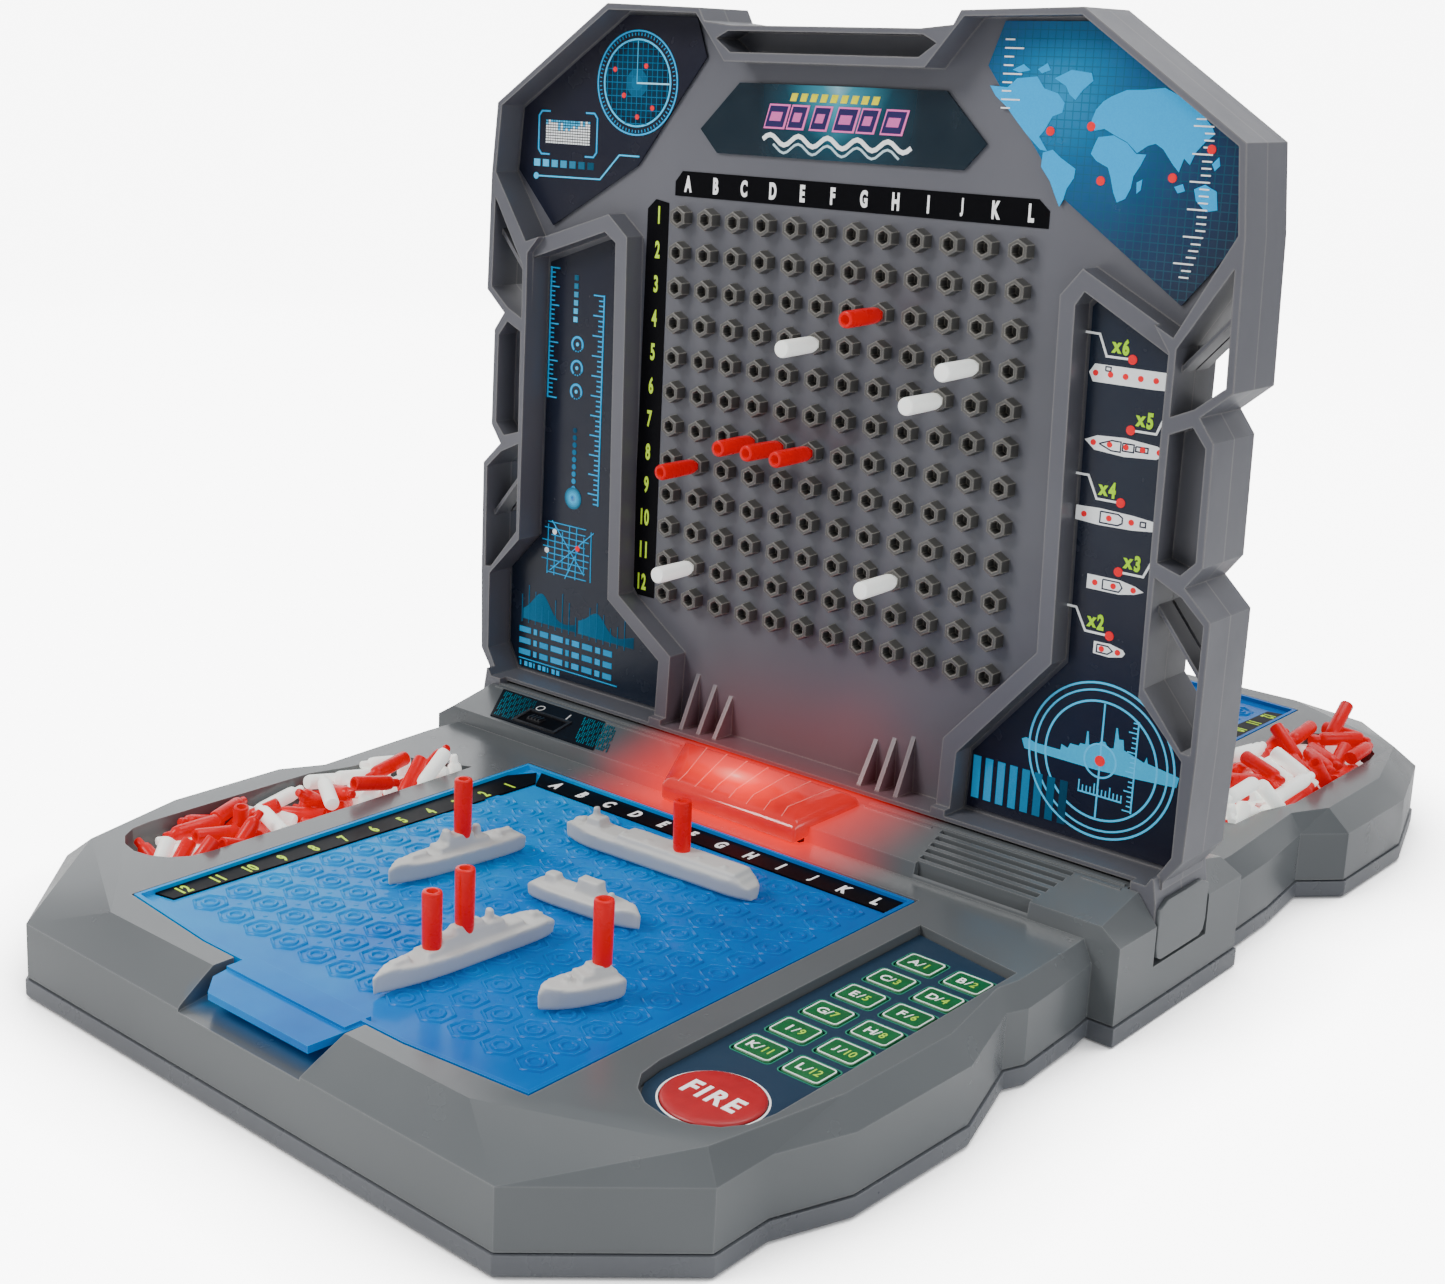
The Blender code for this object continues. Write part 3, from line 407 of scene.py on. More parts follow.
def lathe(profile, sides, matrix, bm=None):
    """Solid of revolution from (radius, height) pairs, carried by matrix."""
    bm = bm or bmesh.new()
    loops = []
    for radius, height in profile:
        if radius < 1e-6:
            loops.append([bm.verts.new(matrix @ Vector((0, 0, height)))])
        else:
            angles = [2 * math.pi * i / sides for i in range(sides)]
            loops.append([bm.verts.new(matrix @ Vector((radius * math.cos(a),
                                                        radius * math.sin(a), height)))
                          for a in angles])
    for low, high in zip(loops, loops[1:]):
        for i in range(sides):
            j = (i + 1) % sides
            if len(low) == 1:
                bm.faces.new((low[0], high[j], high[i]))
            elif len(high) == 1:
                bm.faces.new((low[i], low[j], high[0]))
            else:
                bm.faces.new((low[i], low[j], high[j], high[i]))
    return bm


# ================================================================== objects
def make(name, bm, material=None):
    """Object from a bmesh drawn in modules."""
    for v in bm.verts:
        v.co = Vector((v.co.x, v.co.y, v.co.z + DECK_Z)) * MODULE
    bmesh.ops.recalc_face_normals(bm, faces=bm.faces)
    mesh = bpy.data.meshes.new(name)
    bm.to_mesh(mesh)
    bm.free()
    ob = bpy.data.objects.new(name, mesh)
    bpy.context.scene.collection.objects.link(ob)
    if material:
        mesh.materials.append(MAT[material])
    return ob


def evaluated_mesh(ob):
    depsgraph = bpy.context.evaluated_depsgraph_get()
    depsgraph.update()
    return bpy.data.meshes.new_from_object(ob.evaluated_get(depsgraph))


def apply_modifiers(ob):
    mesh = evaluated_mesh(ob)
    old = ob.data
    ob.modifiers.clear()
    ob.data = mesh
    mesh.name = ob.name
    bpy.data.meshes.remove(old)


def boolean(ob, bm, operation="DIFFERENCE"):
    """Cuts or joins a solid drawn in modules."""
    tool = make("tool", bm)
    modifier = ob.modifiers.new("b", "BOOLEAN")
    modifier.operation, modifier.solver, modifier.object = operation, "EXACT", tool
    apply_modifiers(ob)
    bpy.data.objects.remove(tool, do_unlink=True)


def tidy(ob, angle=0.5):
    """Merges doubles and, unless angle is 0, faces that lie flat together."""
    bm = bmesh.new()
    bm.from_mesh(ob.data)
    bmesh.ops.remove_doubles(bm, verts=bm.verts, dist=MELD)
    if angle:
        bmesh.ops.dissolve_limit(bm, angle_limit=math.radians(angle), verts=bm.verts,
                                 edges=bm.edges)
    bmesh.ops.recalc_face_normals(bm, faces=bm.faces)
    bm.to_mesh(ob.data)
    bm.free()


def smooth(ob, angle):
    ob.data.shade_smooth()
    ob.data.set_sharp_from_angle(angle=math.radians(angle))
    return ob


def weight_normals(ob):
    modifier = ob.modifiers.new("flats", "WEIGHTED_NORMAL")
    modifier.keep_sharp, modifier.weight = True, 80
    apply_modifiers(ob)


def round_edges(ob, width, segments=2, angle=22, skip=lambda edge: False):
    """Bevels the sharp edges, apart from those skip() names."""
    bm = bmesh.new()
    bm.from_mesh(ob.data)
    bmesh.ops.remove_doubles(bm, verts=bm.verts, dist=MELD)
    edges = [e for e in bm.edges if len(e.link_faces) == 2
             and math.degrees(e.calc_face_angle(0)) > angle and not skip(e)]
    bmesh.ops.bevel(bm, geom=edges, offset=width * MODULE, segments=segments, profile=0.5,
                    affect="EDGES", clamp_overlap=True)
    bm.to_mesh(ob.data)
    bm.free()


def flat_normals(ob):
    """Smooth shading over the bevels that keeps the flats flat."""
    smooth(ob, 30)
    weight_normals(ob)


def attach(ob, body, node=None):
    """Tells the frame what moves the piece and hides the CAD node it replaces."""
    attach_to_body(ob, body)
    if node:
        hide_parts(node)


def pair(ob, body, node=None):
    """Attaches a front piece named *_f and its rear copy *_r; {} becomes front or rear."""
    attach(ob, body.format("front"), node and node.format("front"))
    rear = ob.copy()
    rear.data = ob.data.copy()
    rear.name = rear.data.name = ob.name[:-1] + "r"
    for key in list(rear.keys()):
        if key.startswith("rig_"):
            del rear[key]
    rear.parent = None
    rear.matrix_world = Matrix.Identity(4)
    rear.data.transform(HALF_TURN)
    bpy.context.scene.collection.objects.link(rear)
    attach(rear, body.format("rear"), node and node.format("rear"))


# ================================================================== case
def cad_copy(node, name, material, angle=0.5):
    mesh = NODES[node].data.copy()
    mesh.name = name
    ob = bpy.data.objects.new(name, mesh)
    bpy.context.scene.collection.objects.link(ob)
    mesh.materials.clear()
    mesh.materials.append(MAT[material])
    names = [a.name for a in mesh.attributes if a.name.startswith(("custom", "sharp"))]
    for attribute in names:
        mesh.attributes.remove(mesh.attributes[attribute])
    tidy(ob, angle)
    return ob


# raised beads along the spine, at the foot of the screen:
# y, base z, half width, height, spans in x
BEADS = ((-1.30, 0.76, 0.045, 0.07, ((-10.9, -3.3), (3.2, 10.75))),
         (-1.52, 0.75, 0.04, 0.05, ((-10.9, -3.3), (3.2, 5.3), (9.7, 10.75))))
case_top = cad_copy("base_top_housing", "case_top", "case_plastic", angle=0)
for side in (1, -1):
    for y, z, half, height, spans in BEADS:
        for x0, x1 in spans:
            outline = [(side * px, side * py) for px, py in rectangle(x0, y - half, x1, y + half)]
            boolean(case_top, extrude_z(outline, z - 0.1, z + height), "UNION")
tidy(case_top, angle=0)
round_edges(case_top, 0.045)
flat_normals(case_top)
attach(case_top, "case", "base_top_housing")

cover = cad_copy("base_bottom_cover", "case_bottom", "cover_plastic")
round_edges(cover, 0.04, angle=24)
flat_normals(cover)
attach(cover, "case", "base_bottom_cover")

door = cad_copy("battery_door", "battery_hatch_lid", "cover_plastic")
bevel = door.modifiers.new("edges", "BEVEL")
bevel.width, bevel.segments = 0.03 * MODULE, 2
bevel.limit_method, bevel.angle_limit = "ANGLE", math.radians(24)
bevel.use_clamp_overlap = True
bevel.harden_normals = False
bevel.miter_outer = "MITER_ARC"
weight_normals(door)
smooth(door, 30)
attach(door, "battery_hatch", "battery_door")

# CAD pieces that keep their own mesh, by material
CAD_FINISHES = {
    "steel_finish": ("battery_door_screw", "case_screw_front", "case_screw_rear",
                     "battery_spring_plate", "battery_contact_plate"),
    "cell_finish": ("battery_1", "battery_2", "battery_3"),
    "board_finish": ("main_board",),
    "signal_red": ("signal_led",),
    "cone_finish": ("speaker",),
    "black_finish": ("power_switch_knob",),
    "title_sheet": ("title_label_front", "title_label_rear"),
    "dark_sheet": ("radar_label_front", "radar_label_rear",
                   "gauge_label_front", "gauge_label_rear"),
    "fleet_sheet": ("fleet_label_front", "fleet_label_rear"),
    "chart_sheet": ("map_label_front",),
    "chart_sheet_rear": ("map_label_rear",),
    "slate_sheet": ("keypad_overlay_front", "keypad_overlay_rear"),
}
for material, names in CAD_FINISHES.items():
    for name in names:
        slots = NODES[name].data.materials
        slots.clear()
        slots.append(MAT[material])

# ================================================================== screen
# depths in front of the XZ plane
RIM_Y, WEB_Y, RIB_Y, SEAM_Y = 1.07, 0.13, 0.82, 0.015
GRID_X0, GRID_Z0 = -5.13, 4.77      # lowest socket on the -X side
FOOT_Z = 0.98

# outlines as (x, z); HALF is the +X side of the outer edge, from the top down
HALF = [(3.0, 21.05), (3.95, 21.15), (4.15, 21.5), (7.5, 21.6), (11.8, 18.7), (12.0, 16.6),
        (12.1, 13.1), (11.35, 12.45), (11.75, 11.9), (11.8, 8.95), (11.4, 8.4), (12.12, 7.7),
        (12.12, 4.3), (12.05, 1.7), (11.6, 1.05)]
OUTLINE = HALF + [(11.6, 0.86), (-11.6, 0.86)] + flip(HALF[::-1], -1)
EAR = [(11.62, 0.5), (11.62, -0.55), (11.5, -0.9), (10.9, -0.9), (10.9, 1.2), (11.5, 1.2)]
MIDDLE = [(-4.5, FOOT_Z), (-4.42, 3.06), (-6.52, 4.5), (-6.68, 15.1), (-7.42, 15.7),
          (-10.5, 14.68), (-11.82, 16.65), (-11.62, 18.62), (-7.45, 21.42), (-4.25, 21.35),
          (-3.2, 20.1), (3.2, 20.1), (4.25, 21.35), (7.45, 21.42), (11.62, 18.62),
          (11.82, 16.65), (10.5, 14.2), (7.9, 15.55), (7.34, 14.86), (7.53, 5.9), (5.0, 3.0),
          (4.93, FOOT_Z)]
TALL_LEFT = [(-4.95, FOOT_Z), (-4.87, 2.82), (-6.97, 4.28), (-7.12, 14.9), (-7.55, 15.18),
             (-10.4, 14.2), (-10.5, 5.5), (-11.75, 4.2), (-11.75, 1.75), (-11.3, FOOT_Z)]
TALL_RIGHT = [(5.37, FOOT_Z), (5.44, 2.7), (7.97, 5.7), (7.78, 14.66), (8.0, 15.0),
              (10.4, 13.7), (10.5, 5.5), (11.75, 4.2), (11.75, 1.75), (11.3, FOOT_Z)]
TOP_SLOT = [(-3.0, 20.35), (-3.5, 20.7), (-3.1, 20.9), (3.1, 20.9), (3.5, 20.7), (3.0, 20.35)]
# cells down each side, on +X, and the struts across the top and bottom ones
TOP_CELL = [(10.61, 13.95), (11.82, 15.9), (11.90, 13.2), (11.2, 12.63), (10.61, 12.36)]
MID_CELL = [(10.64, 11.95), (11.2, 12.2), (11.56, 11.75), (11.6, 9.05), (11.25, 8.68),
            (10.64, 8.87)]
LOW_CELL = [(10.62, 8.5), (11.35, 8.15), (11.95, 7.6), (11.95, 4.4), (11.72, 4.42),
            (10.62, 5.75)]
STRUTS = ([(10.56, 13.3), (11.96, 14.9), (11.96, 15.08), (10.56, 13.48)],
          [(10.56, 7.85), (12.03, 6.05), (12.03, 5.87), (10.56, 7.67)])
RIB_CUT = [(-10.42, 1.15), (-10.42, 14.35), (-9.0, 15.9), (9.0, 15.9), (10.42, 13.85),
           (10.42, 1.15)]
# fins at the foot: x of the -X face, top z
FINS = ((-3.95, 2.6), (-3.3, 2.4), (-2.7, 2.2), (2.4, 2.2), (3.0, 2.4), (3.6, 2.6))


def on_seam(vertex):
    return abs(vertex.co.y + SEAM_Y * MODULE) < 1e-5


def screen_shell():
    shell = make("screen_face_f", extrude_y(OUTLINE, -RIM_Y, -SEAM_Y), "screen_plastic")
    for side in (1, -1):
        boolean(shell, extrude_y(flip(EAR, side), -1.36, -SEAM_Y), "UNION")
    for outline in (MIDDLE, TALL_LEFT, TALL_RIGHT, TOP_SLOT):
        boolean(shell, extrude_y(outline, -2, -WEB_Y))
    for side in (1, -1):
        for cell in (TOP_CELL, LOW_CELL):
            boolean(shell, extrude_y(flip(cell, side), -2, 1))
        boolean(shell, extrude_y(flip(MID_CELL, side), -2, -0.3))
        for strut in STRUTS:
            boolean(shell, extrude_y(flip(strut, side), -0.7, -0.06), "UNION")
    boolean(shell, extrude_y(RIB_CUT, -2, -RIB_Y))
    for x, top in FINS:
        profile = [(-0.1, 0.9), (-0.85, 0.9), (-0.85, 1.0), (-0.1, top)]
        boolean(shell, extrude_x(profile, x, x + 0.14), "UNION")
    tidy(shell)
    round_edges(shell, 0.04, skip=lambda edge: all(on_seam(v) for v in edge.verts))
    flat_normals(shell)
    # the two halves meet at the seam
    for vertex in shell.data.vertices:
        if on_seam(vertex):
            vertex.co.y = 0.00002
    return shell


pair(screen_shell(), "screen", "screen_{}_shell")

# flush cheek over each ear, with rounded lower corners; outline as (y, z)
CHEEK = [(-1.30, 0.44), (-1.30, -0.55), (-1.22, -0.82), (-1.02, -0.93), (1.02, -0.93),
         (1.22, -0.82), (1.30, -0.55), (1.30, 0.44), (0.9, 0.62), (-0.9, 0.62)]
for side, letter in ((1, "r"), (-1, "l")):
    cheek = make("ear_cheek_" + letter, extrude_x(CHEEK, side * 11.56, side * 11.73),
                 "case_plastic")
    round_edges(cheek, 0.05, angle=24)
    flat_normals(cheek)
    attach(cheek, "screen")

# hexagonal peg sockets: radius, y
SOCKET = ((0.330, -0.10), (0.314, -0.44), (0.302, -0.468), (0.278, -0.480), (0.196, -0.480),
          (0.176, -0.460), (0.164, -0.16))
HEX_ANGLES = [math.radians(90 + 60 * i) for i in range(6)]
bm = bmesh.new()
for column in range(CELLS):
    for row in range(CELLS):
        cx, cz = GRID_X0 + column, GRID_Z0 + row
        loft([[(cx + r * math.cos(a), y, cz + r * math.sin(a)) for a in HEX_ANGLES]
              for r, y in SOCKET], bm)
pair(smooth(make("peg_sockets_f", bm, "socket_plastic"), 25), "screen")


# ================================================================== printed graphics
WHITE, CYAN, SKY = (0.85, 0.88, 0.88), (0.018, 0.36, 0.72), (0.055, 0.50, 0.86)
RED, NIGHT, BLACK = (0.85, 0.02, 0.03), (0.008, 0.012, 0.022), (0.003, 0.003, 0.004)
SCALE_BLACK, LETTER_WHITE, LIME = (0.004, 0.004, 0.005), (0.95,) * 3, (0.52, 0.80, 0.05)
SUNK = -0.02        # underside of every printed shape, below its sheet
glyphs = {}


def glyph(text, bold, gap):
    """Vertices and faces of a word one unit high, centred, with z 0 below and 1 above."""
    key = (text, bold, gap)
    if key not in glyphs:
        curve = bpy.data.curves.new("glyph", "FONT")
        curve.body = text
        curve.align_x, curve.align_y = "CENTER", "CENTER"
        curve.offset = bold
        curve.space_character = gap
        curve.extrude = 0.5
        curve.resolution_u = 4
        ob = bpy.data.objects.new("glyph", curve)
        bpy.context.scene.collection.objects.link(ob)
        mesh = evaluated_mesh(ob)
        bm = bmesh.new()
        bm.from_mesh(mesh)
        bmesh.ops.remove_doubles(bm, verts=bm.verts, dist=1e-4)
        xs = [v.co.x for v in bm.verts]
        ys = [v.co.y for v in bm.verts]
        mid_x, mid_y = (min(xs) + max(xs)) / 2, (min(ys) + max(ys)) / 2
        high = max(ys) - min(ys)
        verts = [((v.co.x - mid_x) / high, (v.co.y - mid_y) / high, v.co.z + 0.5)
                 for v in bm.verts]
        glyphs[key] = (verts, [[v.index for v in f.verts] for f in bm.faces])
        bm.free()
        bpy.data.objects.remove(ob, do_unlink=True)
        bpy.data.meshes.remove(mesh)
    return glyphs[key]


class Print:
    """Thin inked shapes on a sheet; place(u, v, height) gives the point in space."""

    def __init__(self, place, thick=0.012, ground=NIGHT):
        self.place, self.thick, self.ground = place, thick, ground
        self.bm = bmesh.new()
        self.layer = self.bm.loops.layers.float_color.new("ink")
        self.count = 0

    def paint(self, faces, colour):
        for face in faces:
            for loop in face.loops:
                loop[self.layer] = (*colour, 1)

    def fade(self, colour, amount):
        return tuple(c * amount + g * (1 - amount) for c, g in zip(colour, self.ground))

    def top(self, lift, thick):
        """Height of the next shape, staggered so that overlaps don't share a plane."""
        self.count += 1
        return (self.thick if thick is None else thick) + (lift + (self.count % 7) * 0.0006)

    def poly(self, points, colour, lift=0.0, thick=None):
        heights = (SUNK, self.top(lift, thick))
        loops = [[self.place(u, v, h) for u, v in points] for h in heights]
        self.paint(loft_faces(self.bm, loops), colour)

    def rect(self, u0, v0, u1, v1, colour, **height):
        self.poly(rectangle(u0, v0, u1, v1), colour, **height)

    def line(self, start, end, width, colour, **height):
        along = Vector((end[0] - start[0], end[1] - start[1]))
        n = Vector((-along.y, along.x)).normalized() * width / 2
        self.poly([(start[0] - n.x, start[1] - n.y), (end[0] - n.x, end[1] - n.y),
                   (end[0] + n.x, end[1] + n.y), (start[0] + n.x, start[1] + n.y)],
                  colour, **height)

    def path(self, points, width, colour, **height):
        """Open polyline with mitred corners."""
        left, right = [], []
        last = len(points) - 1
        for i, point in enumerate(points):
            before = Vector(points[max(i - 1, 0)])
            after = Vector(points[min(i + 1, last)])
            here = Vector(point)
            come = (here - before).normalized() if i else (after - here).normalized()
            leave = (after - here).normalized() if i < last else come
            mitre = Vector((-come.y, come.x)) + Vector((-leave.y, leave.x))
            mitre = mitre / max(mitre.length_squared / 2, 0.3)
            left.append(here + mitre * width / 2)
            right.append(here - mitre * width / 2)
        for i in range(last):
            self.poly([right[i], right[i + 1], left[i + 1], left[i]], colour, **height)

    def frame(self, outer, inner, colour):
        """Flat band between two loops, all at one height."""
        for i in range(len(outer)):
            j = (i + 1) % len(outer)
            self.count = 1
            self.poly([outer[i], outer[j], inner[j], inner[i]], colour)

    def disc(self, centre, radius, colour, n=20, **height):
        self.poly(circle(*centre, radius, n), colour, **height)

    def ring(self, centre, radius, width, colour, span=None, n=48, ry=None, lift=0.0):
        """Full ring, or the part of one between the two angles of span."""
        ry = radius if ry is None else ry
        sizes = ((radius, ry), (radius - width, ry - width))
        if span:
            outer, inner = (arc(*centre, rx, *span, n, r) for rx, r in sizes)
        else:
            outer, inner = (circle(*centre, rx, n, r) for rx, r in sizes)
        heights = (SUNK, self.top(lift, None))
        new = self.bm.verts.new
        low_out, high_out = ([new(self.place(*p, h)) for p in outer] for h in heights)
        low_in, high_in = ([new(self.place(*p, h)) for p in inner] for h in heights)
        faces = []
        count = len(outer)
        for i in range(count - 1 if span else count):
            j = (i + 1) % count
            faces += [self.bm.faces.new(quad) for quad in (
                (high_out[i], high_out[j], high_in[j], high_in[i]),
                (low_out[j], low_out[i], low_in[i], low_in[j]),
                (low_out[i], low_out[j], high_out[j], high_out[i]),
                (low_in[j], low_in[i], high_in[i], high_in[j]))]
        if span:
            for i, order in ((0, 1), (count - 1, -1)):
                end = [low_out[i], high_out[i], high_in[i], low_in[i]]
                faces.append(self.bm.faces.new(end[::order]))
        self.paint(faces, colour)

    def text(self, words, u, v, high, colour, wide, bold, spin=0.0, lift=0.0, gap=1.0):
        verts, polygons = glyph(words, bold, gap)
        cos, sin = math.cos(math.radians(spin)), math.sin(math.radians(spin))
        top = self.thick + lift
        new = []
        for x, y, z in verts:
            x, y = x * high * wide, y * high
            new.append(self.bm.verts.new(self.place(u + x * cos - y * sin, v + x * sin + y * cos,
                                                    SUNK if z < 0.5 else top)))
        faces = []
        for polygon in polygons:
            # guards against a glyph face that repeats another's corners
            try:
                faces.append(self.bm.faces.new([new[i] for i in polygon]))
            except ValueError:
                pass
        self.paint(faces, colour)

    def done(self, name):
        return make(name, self.bm, "printed_ink")


def on_face(y0):
    """Plane on the front of the screen: u is X, v is height."""
    return lambda u, v, h: (u, y0 - h, v)


def on_deck(z0):
    return lambda u, v, h: (u, v, z0 + h)


SHEET_Y = -WEB_Y - 0.08        # front of the label sheets

# --- socket scales: letters over the columns, numbers beside the rows
ink = Print(on_face(-WEB_Y), thick=0.02)
ink.poly([(-5.5, 16.35), (6.5, 16.35), (6.5, 16.78), (6.18, 17.05), (-5.25, 17.05),
          (-5.5, 16.75)], SCALE_BLACK)
ink.poly([(-5.72, 4.45), (-5.72, 16.12), (-6.2, 16.2), (-6.5, 15.92), (-6.6, 4.75),
          (-6.35, 4.45)], SCALE_BLACK)
for i, letter in enumerate(LETTERS):
    ink.text(letter, -5.03 + i * 1.003, 16.70, 0.46, LETTER_WHITE, wide=0.56, bold=0.045,
             lift=0.008)
    ink.text(str(i + 1), -6.07 - 0.012 * i, 15.76 - i * 0.989, 0.50, LIME, wide=0.54,
             bold=0.032, lift=0.008, gap=1.15)
pair(ink.done("screen_scales_f"), "screen")

# --- title plate: slanting blocks over two waves
ink = Print(on_face(SHEET_Y))
for k in range(9):
    x = -1.55 + 0.33 * k
    ink.poly([(x, 19.12), (x + 0.2, 19.12), (x + 0.27, 19.33), (x + 0.07, 19.33)],
             (0.80, 0.74, 0.02))
for k, w in enumerate((0.62, 0.5, 0.5, 0.62, 0.5, 0.62)):
    x, z0, z1 = -2.35 + 0.76 * k, 18.42, 18.98
    ink.poly([(x - 0.05, z0 - 0.05), (x + w + 0.03, z0 - 0.05), (x + w + 0.22, z1 + 0.05),
              (x + 0.14, z1 + 0.05)], (0.78, 0.16, 0.45))
    ink.poly([(x, z0), (x + w - 0.02, z0), (x + w + 0.15, z1), (x + 0.17, z1)],
             (0.03, 0.025, 0.09), lift=0.006)
    ink.poly([(x + 0.14, z0 + 0.16), (x + w - 0.1, z0 + 0.16), (x + w - 0.02, z0 + 0.4),
              (x + 0.22, z0 + 0.4)], (0.62, 0.13, 0.38), lift=0.010)
wave = [(-2.4 + 4.8 * (k / 40), 18.08 + 0.13 * math.sin(k / 40 * math.pi * 10))
        for k in range(41)]
ink.path(wave, 0.12, WHITE)
ink.path([(x, z - 0.21) for x, z in wave[3:-3]], 0.06, (0.45, 0.62, 0.68))
pair(ink.done("title_graphic_f"), "screen")

# --- radar panel: dial, ticks, glow, grid, hands and contacts
ink = Print(on_face(SHEET_Y))
DIAL = DIAL_X, DIAL_Z = (-7.03, 19.42)
ink.ring(DIAL, 1.53, 0.05, CYAN, n=64, ry=1.48)
ink.ring(DIAL, 1.28, 0.055, SKY, n=64, ry=1.24)
for k in range(72):
    cos, sin = math.cos(math.radians(5 * k)), math.sin(math.radians(5 * k))
    ink.line((DIAL_X + 1.36 * cos, DIAL_Z + 1.32 * sin),
             (DIAL_X + 1.44 * cos, DIAL_Z + 1.40 * sin), 0.03, ink.fade(CYAN, 0.7))
for k in range(6, 0, -1):
    a = 0.22 + 0.13 * (6 - k)
    ink.disc(DIAL, 0.2 * k, ink.fade((0.01, 0.26, 0.50), a * a * 0.55), n=32,
             lift=-0.008 + 0.001 * (6 - k))
for k in range(-6, 7):
    step, w = k * 0.19, 0.018 if k % 2 else 0.026
    half = 1.2 * math.sqrt(max(0, 1 - (step / 1.22) ** 2))
    faint = ink.fade(CYAN, 0.32)
    ink.line((DIAL_X + step, DIAL_Z - half), (DIAL_X + step, DIAL_Z + half), w, faint)
    ink.line((DIAL_X - half, DIAL_Z + step), (DIAL_X + half, DIAL_Z + step), w, faint)
ink.line(DIAL, (DIAL_X + 1.22, DIAL_Z), 0.045, (0.35, 0.75, 0.95), lift=0.004)
ink.line(DIAL, (DIAL_X, DIAL_Z + 1.18), 0.03, ink.fade(SKY, 0.7), lift=0.004)
for p in ((-7.88, 19.78), (-6.70, 19.90), (-7.51, 19.06), (-6.42, 18.74), (-6.98, 18.47)):
    ink.disc(p, 0.075, RED, n=10, lift=0.006)
# brackets round a field of small blocks
for x0, x1, d in ((-10.88, -10.42, 1), (-8.52, -8.98, -1)):
    ink.path([(x1, 18.50), (x0 + 0.12 * d, 18.50), (x0, 18.36), (x0, 17.38),
              (x0 + 0.12 * d, 17.24), (x1, 17.24)], 0.05, CYAN)
for i in range(18):
    for j in range(9):
        x, z = -10.58 + 0.1 * i, 17.57 + 0.078 * j
        # white up to an uneven height, with the odd pale block in the top row
        colour = WHITE if j < 4 + (3, 1, 5, 2, 4)[(i * 7 + i // 3) % 5] else ink.fade(SKY, 0.9)
        if j >= 8 and (i * 5) % 3 == 0:
            colour = ink.fade(SKY, 0.6)
        ink.rect(x, z, x + 0.07, z + 0.052, colour)
for k, strength in enumerate((1, 0.9, 0.65, 0.5, 0.3, 0.18, 0.1)):
    x = -11.05 + 0.365 * k
    ink.rect(x, 16.87, x + 0.25, 17.08, ink.fade(SKY, strength))
ink.disc((-10.95, 16.58), 0.10, SKY, n=14)
ink.path([(-10.95, 16.58), (-8.35, 16.62), (-7.62, 17.36), (-6.85, 17.36)], 0.045, SKY)
pair(ink.done("radar_graphic_f"), "screen")

# --- chart panel: land outlines as (x, z), contacts and ranging ticks
LANDS = [
    [(4.78, 19.48), (4.60, 19.72), (5.10, 19.70), (5.35, 19.92), (5.90, 19.98), (6.12, 19.70),
     (6.50, 19.60), (6.70, 19.38), (6.66, 19.15), (6.40, 19.05), (6.22, 18.72), (6.08, 18.55),
     (6.33, 18.22), (6.14, 18.24), (5.72, 18.60), (5.42, 18.90), (5.12, 19.22)],
    [(6.38, 19.95), (6.82, 20.16), (7.36, 20.10), (7.42, 19.92), (7.18, 19.72), (6.98, 19.46),
     (6.82, 19.58), (6.70, 19.78)],
    [(6.22, 18.18), (6.48, 18.26), (6.72, 18.08), (7.14, 17.84), (7.12, 17.62), (6.95, 17.36),
     (6.88, 17.10), (6.78, 16.92), (6.64, 17.18), (6.48, 17.5), (6.2, 17.84)],
    [(7.46, 19.0), (7.56, 19.26), (7.74, 19.46), (7.94, 19.58), (8.32, 19.74), (8.78, 19.76),
     (9.28, 19.82), (9.55, 19.70), (9.94, 19.54), (10.24, 19.30), (10.54, 18.98),
     (10.62, 18.82), (10.40, 18.63), (10.2, 18.40), (10.08, 18.10), (9.92, 18.24),
     (9.82, 17.92), (9.66, 18.08), (9.38, 18.42), (9.18, 18.54), (8.98, 18.48), (8.72, 18.3),
     (8.44, 18.54), (8.07, 18.70), (7.82, 18.82), (7.56, 18.76)],
    [(7.58, 18.40), (7.68, 18.62), (8.07, 18.68), (8.44, 18.52), (8.70, 18.28), (8.96, 18.28),
     (8.84, 18.02), (8.68, 17.76), (8.64, 17.48), (8.52, 17.22), (8.31, 17.12), (8.19, 17.36),
     (8.09, 17.70), (8.0, 17.92), (7.68, 18.06), (7.52, 18.22)],
    [(8.78, 17.62), (8.92, 17.70), (8.90, 17.45), (8.80, 17.36)],
    [(10.24, 17.56), (10.50, 17.68), (10.80, 17.54), (10.86, 17.12), (10.58, 17.06),
     (10.31, 17.30)],
    [(9.74, 17.58), (9.95, 17.66), (10.02, 17.5), (9.84, 17.44)],
    [(10.62, 18.15), (10.78, 18.32), (10.82, 18.12), (10.7, 18.0)],
    [(5.2, 20.12), (5.5, 20.26), (5.7, 20.12), (5.4, 20.06)],
    [(5.9, 20.15), (6.15, 20.3), (6.25, 20.14), (6.02, 20.06)],
    [(9.3, 20.02), (9.55, 20.08), (9.6, 19.96), (9.4, 19.92)],
]
ink = Print(on_face(SHEET_Y), ground=(0.003, 0.07, 0.18))
for land in LANDS:
    ink.poly(land, (0.004, 0.36, 0.76), thick=0.008)
for p in ((6.38, 18.70), (7.47, 18.86), (7.84, 17.60), (9.68, 17.78), (10.58, 18.48)):
    ink.disc(p, 0.11, RED, n=16, lift=0.006)
for k in range(11):
    z = 20.84 - 0.205 * k
    if z > 19.0:
        ink.line((4.95, z), (4.95 + (0.26, 0.52)[k % 3 == 1], z), 0.035, WHITE, lift=0.005)
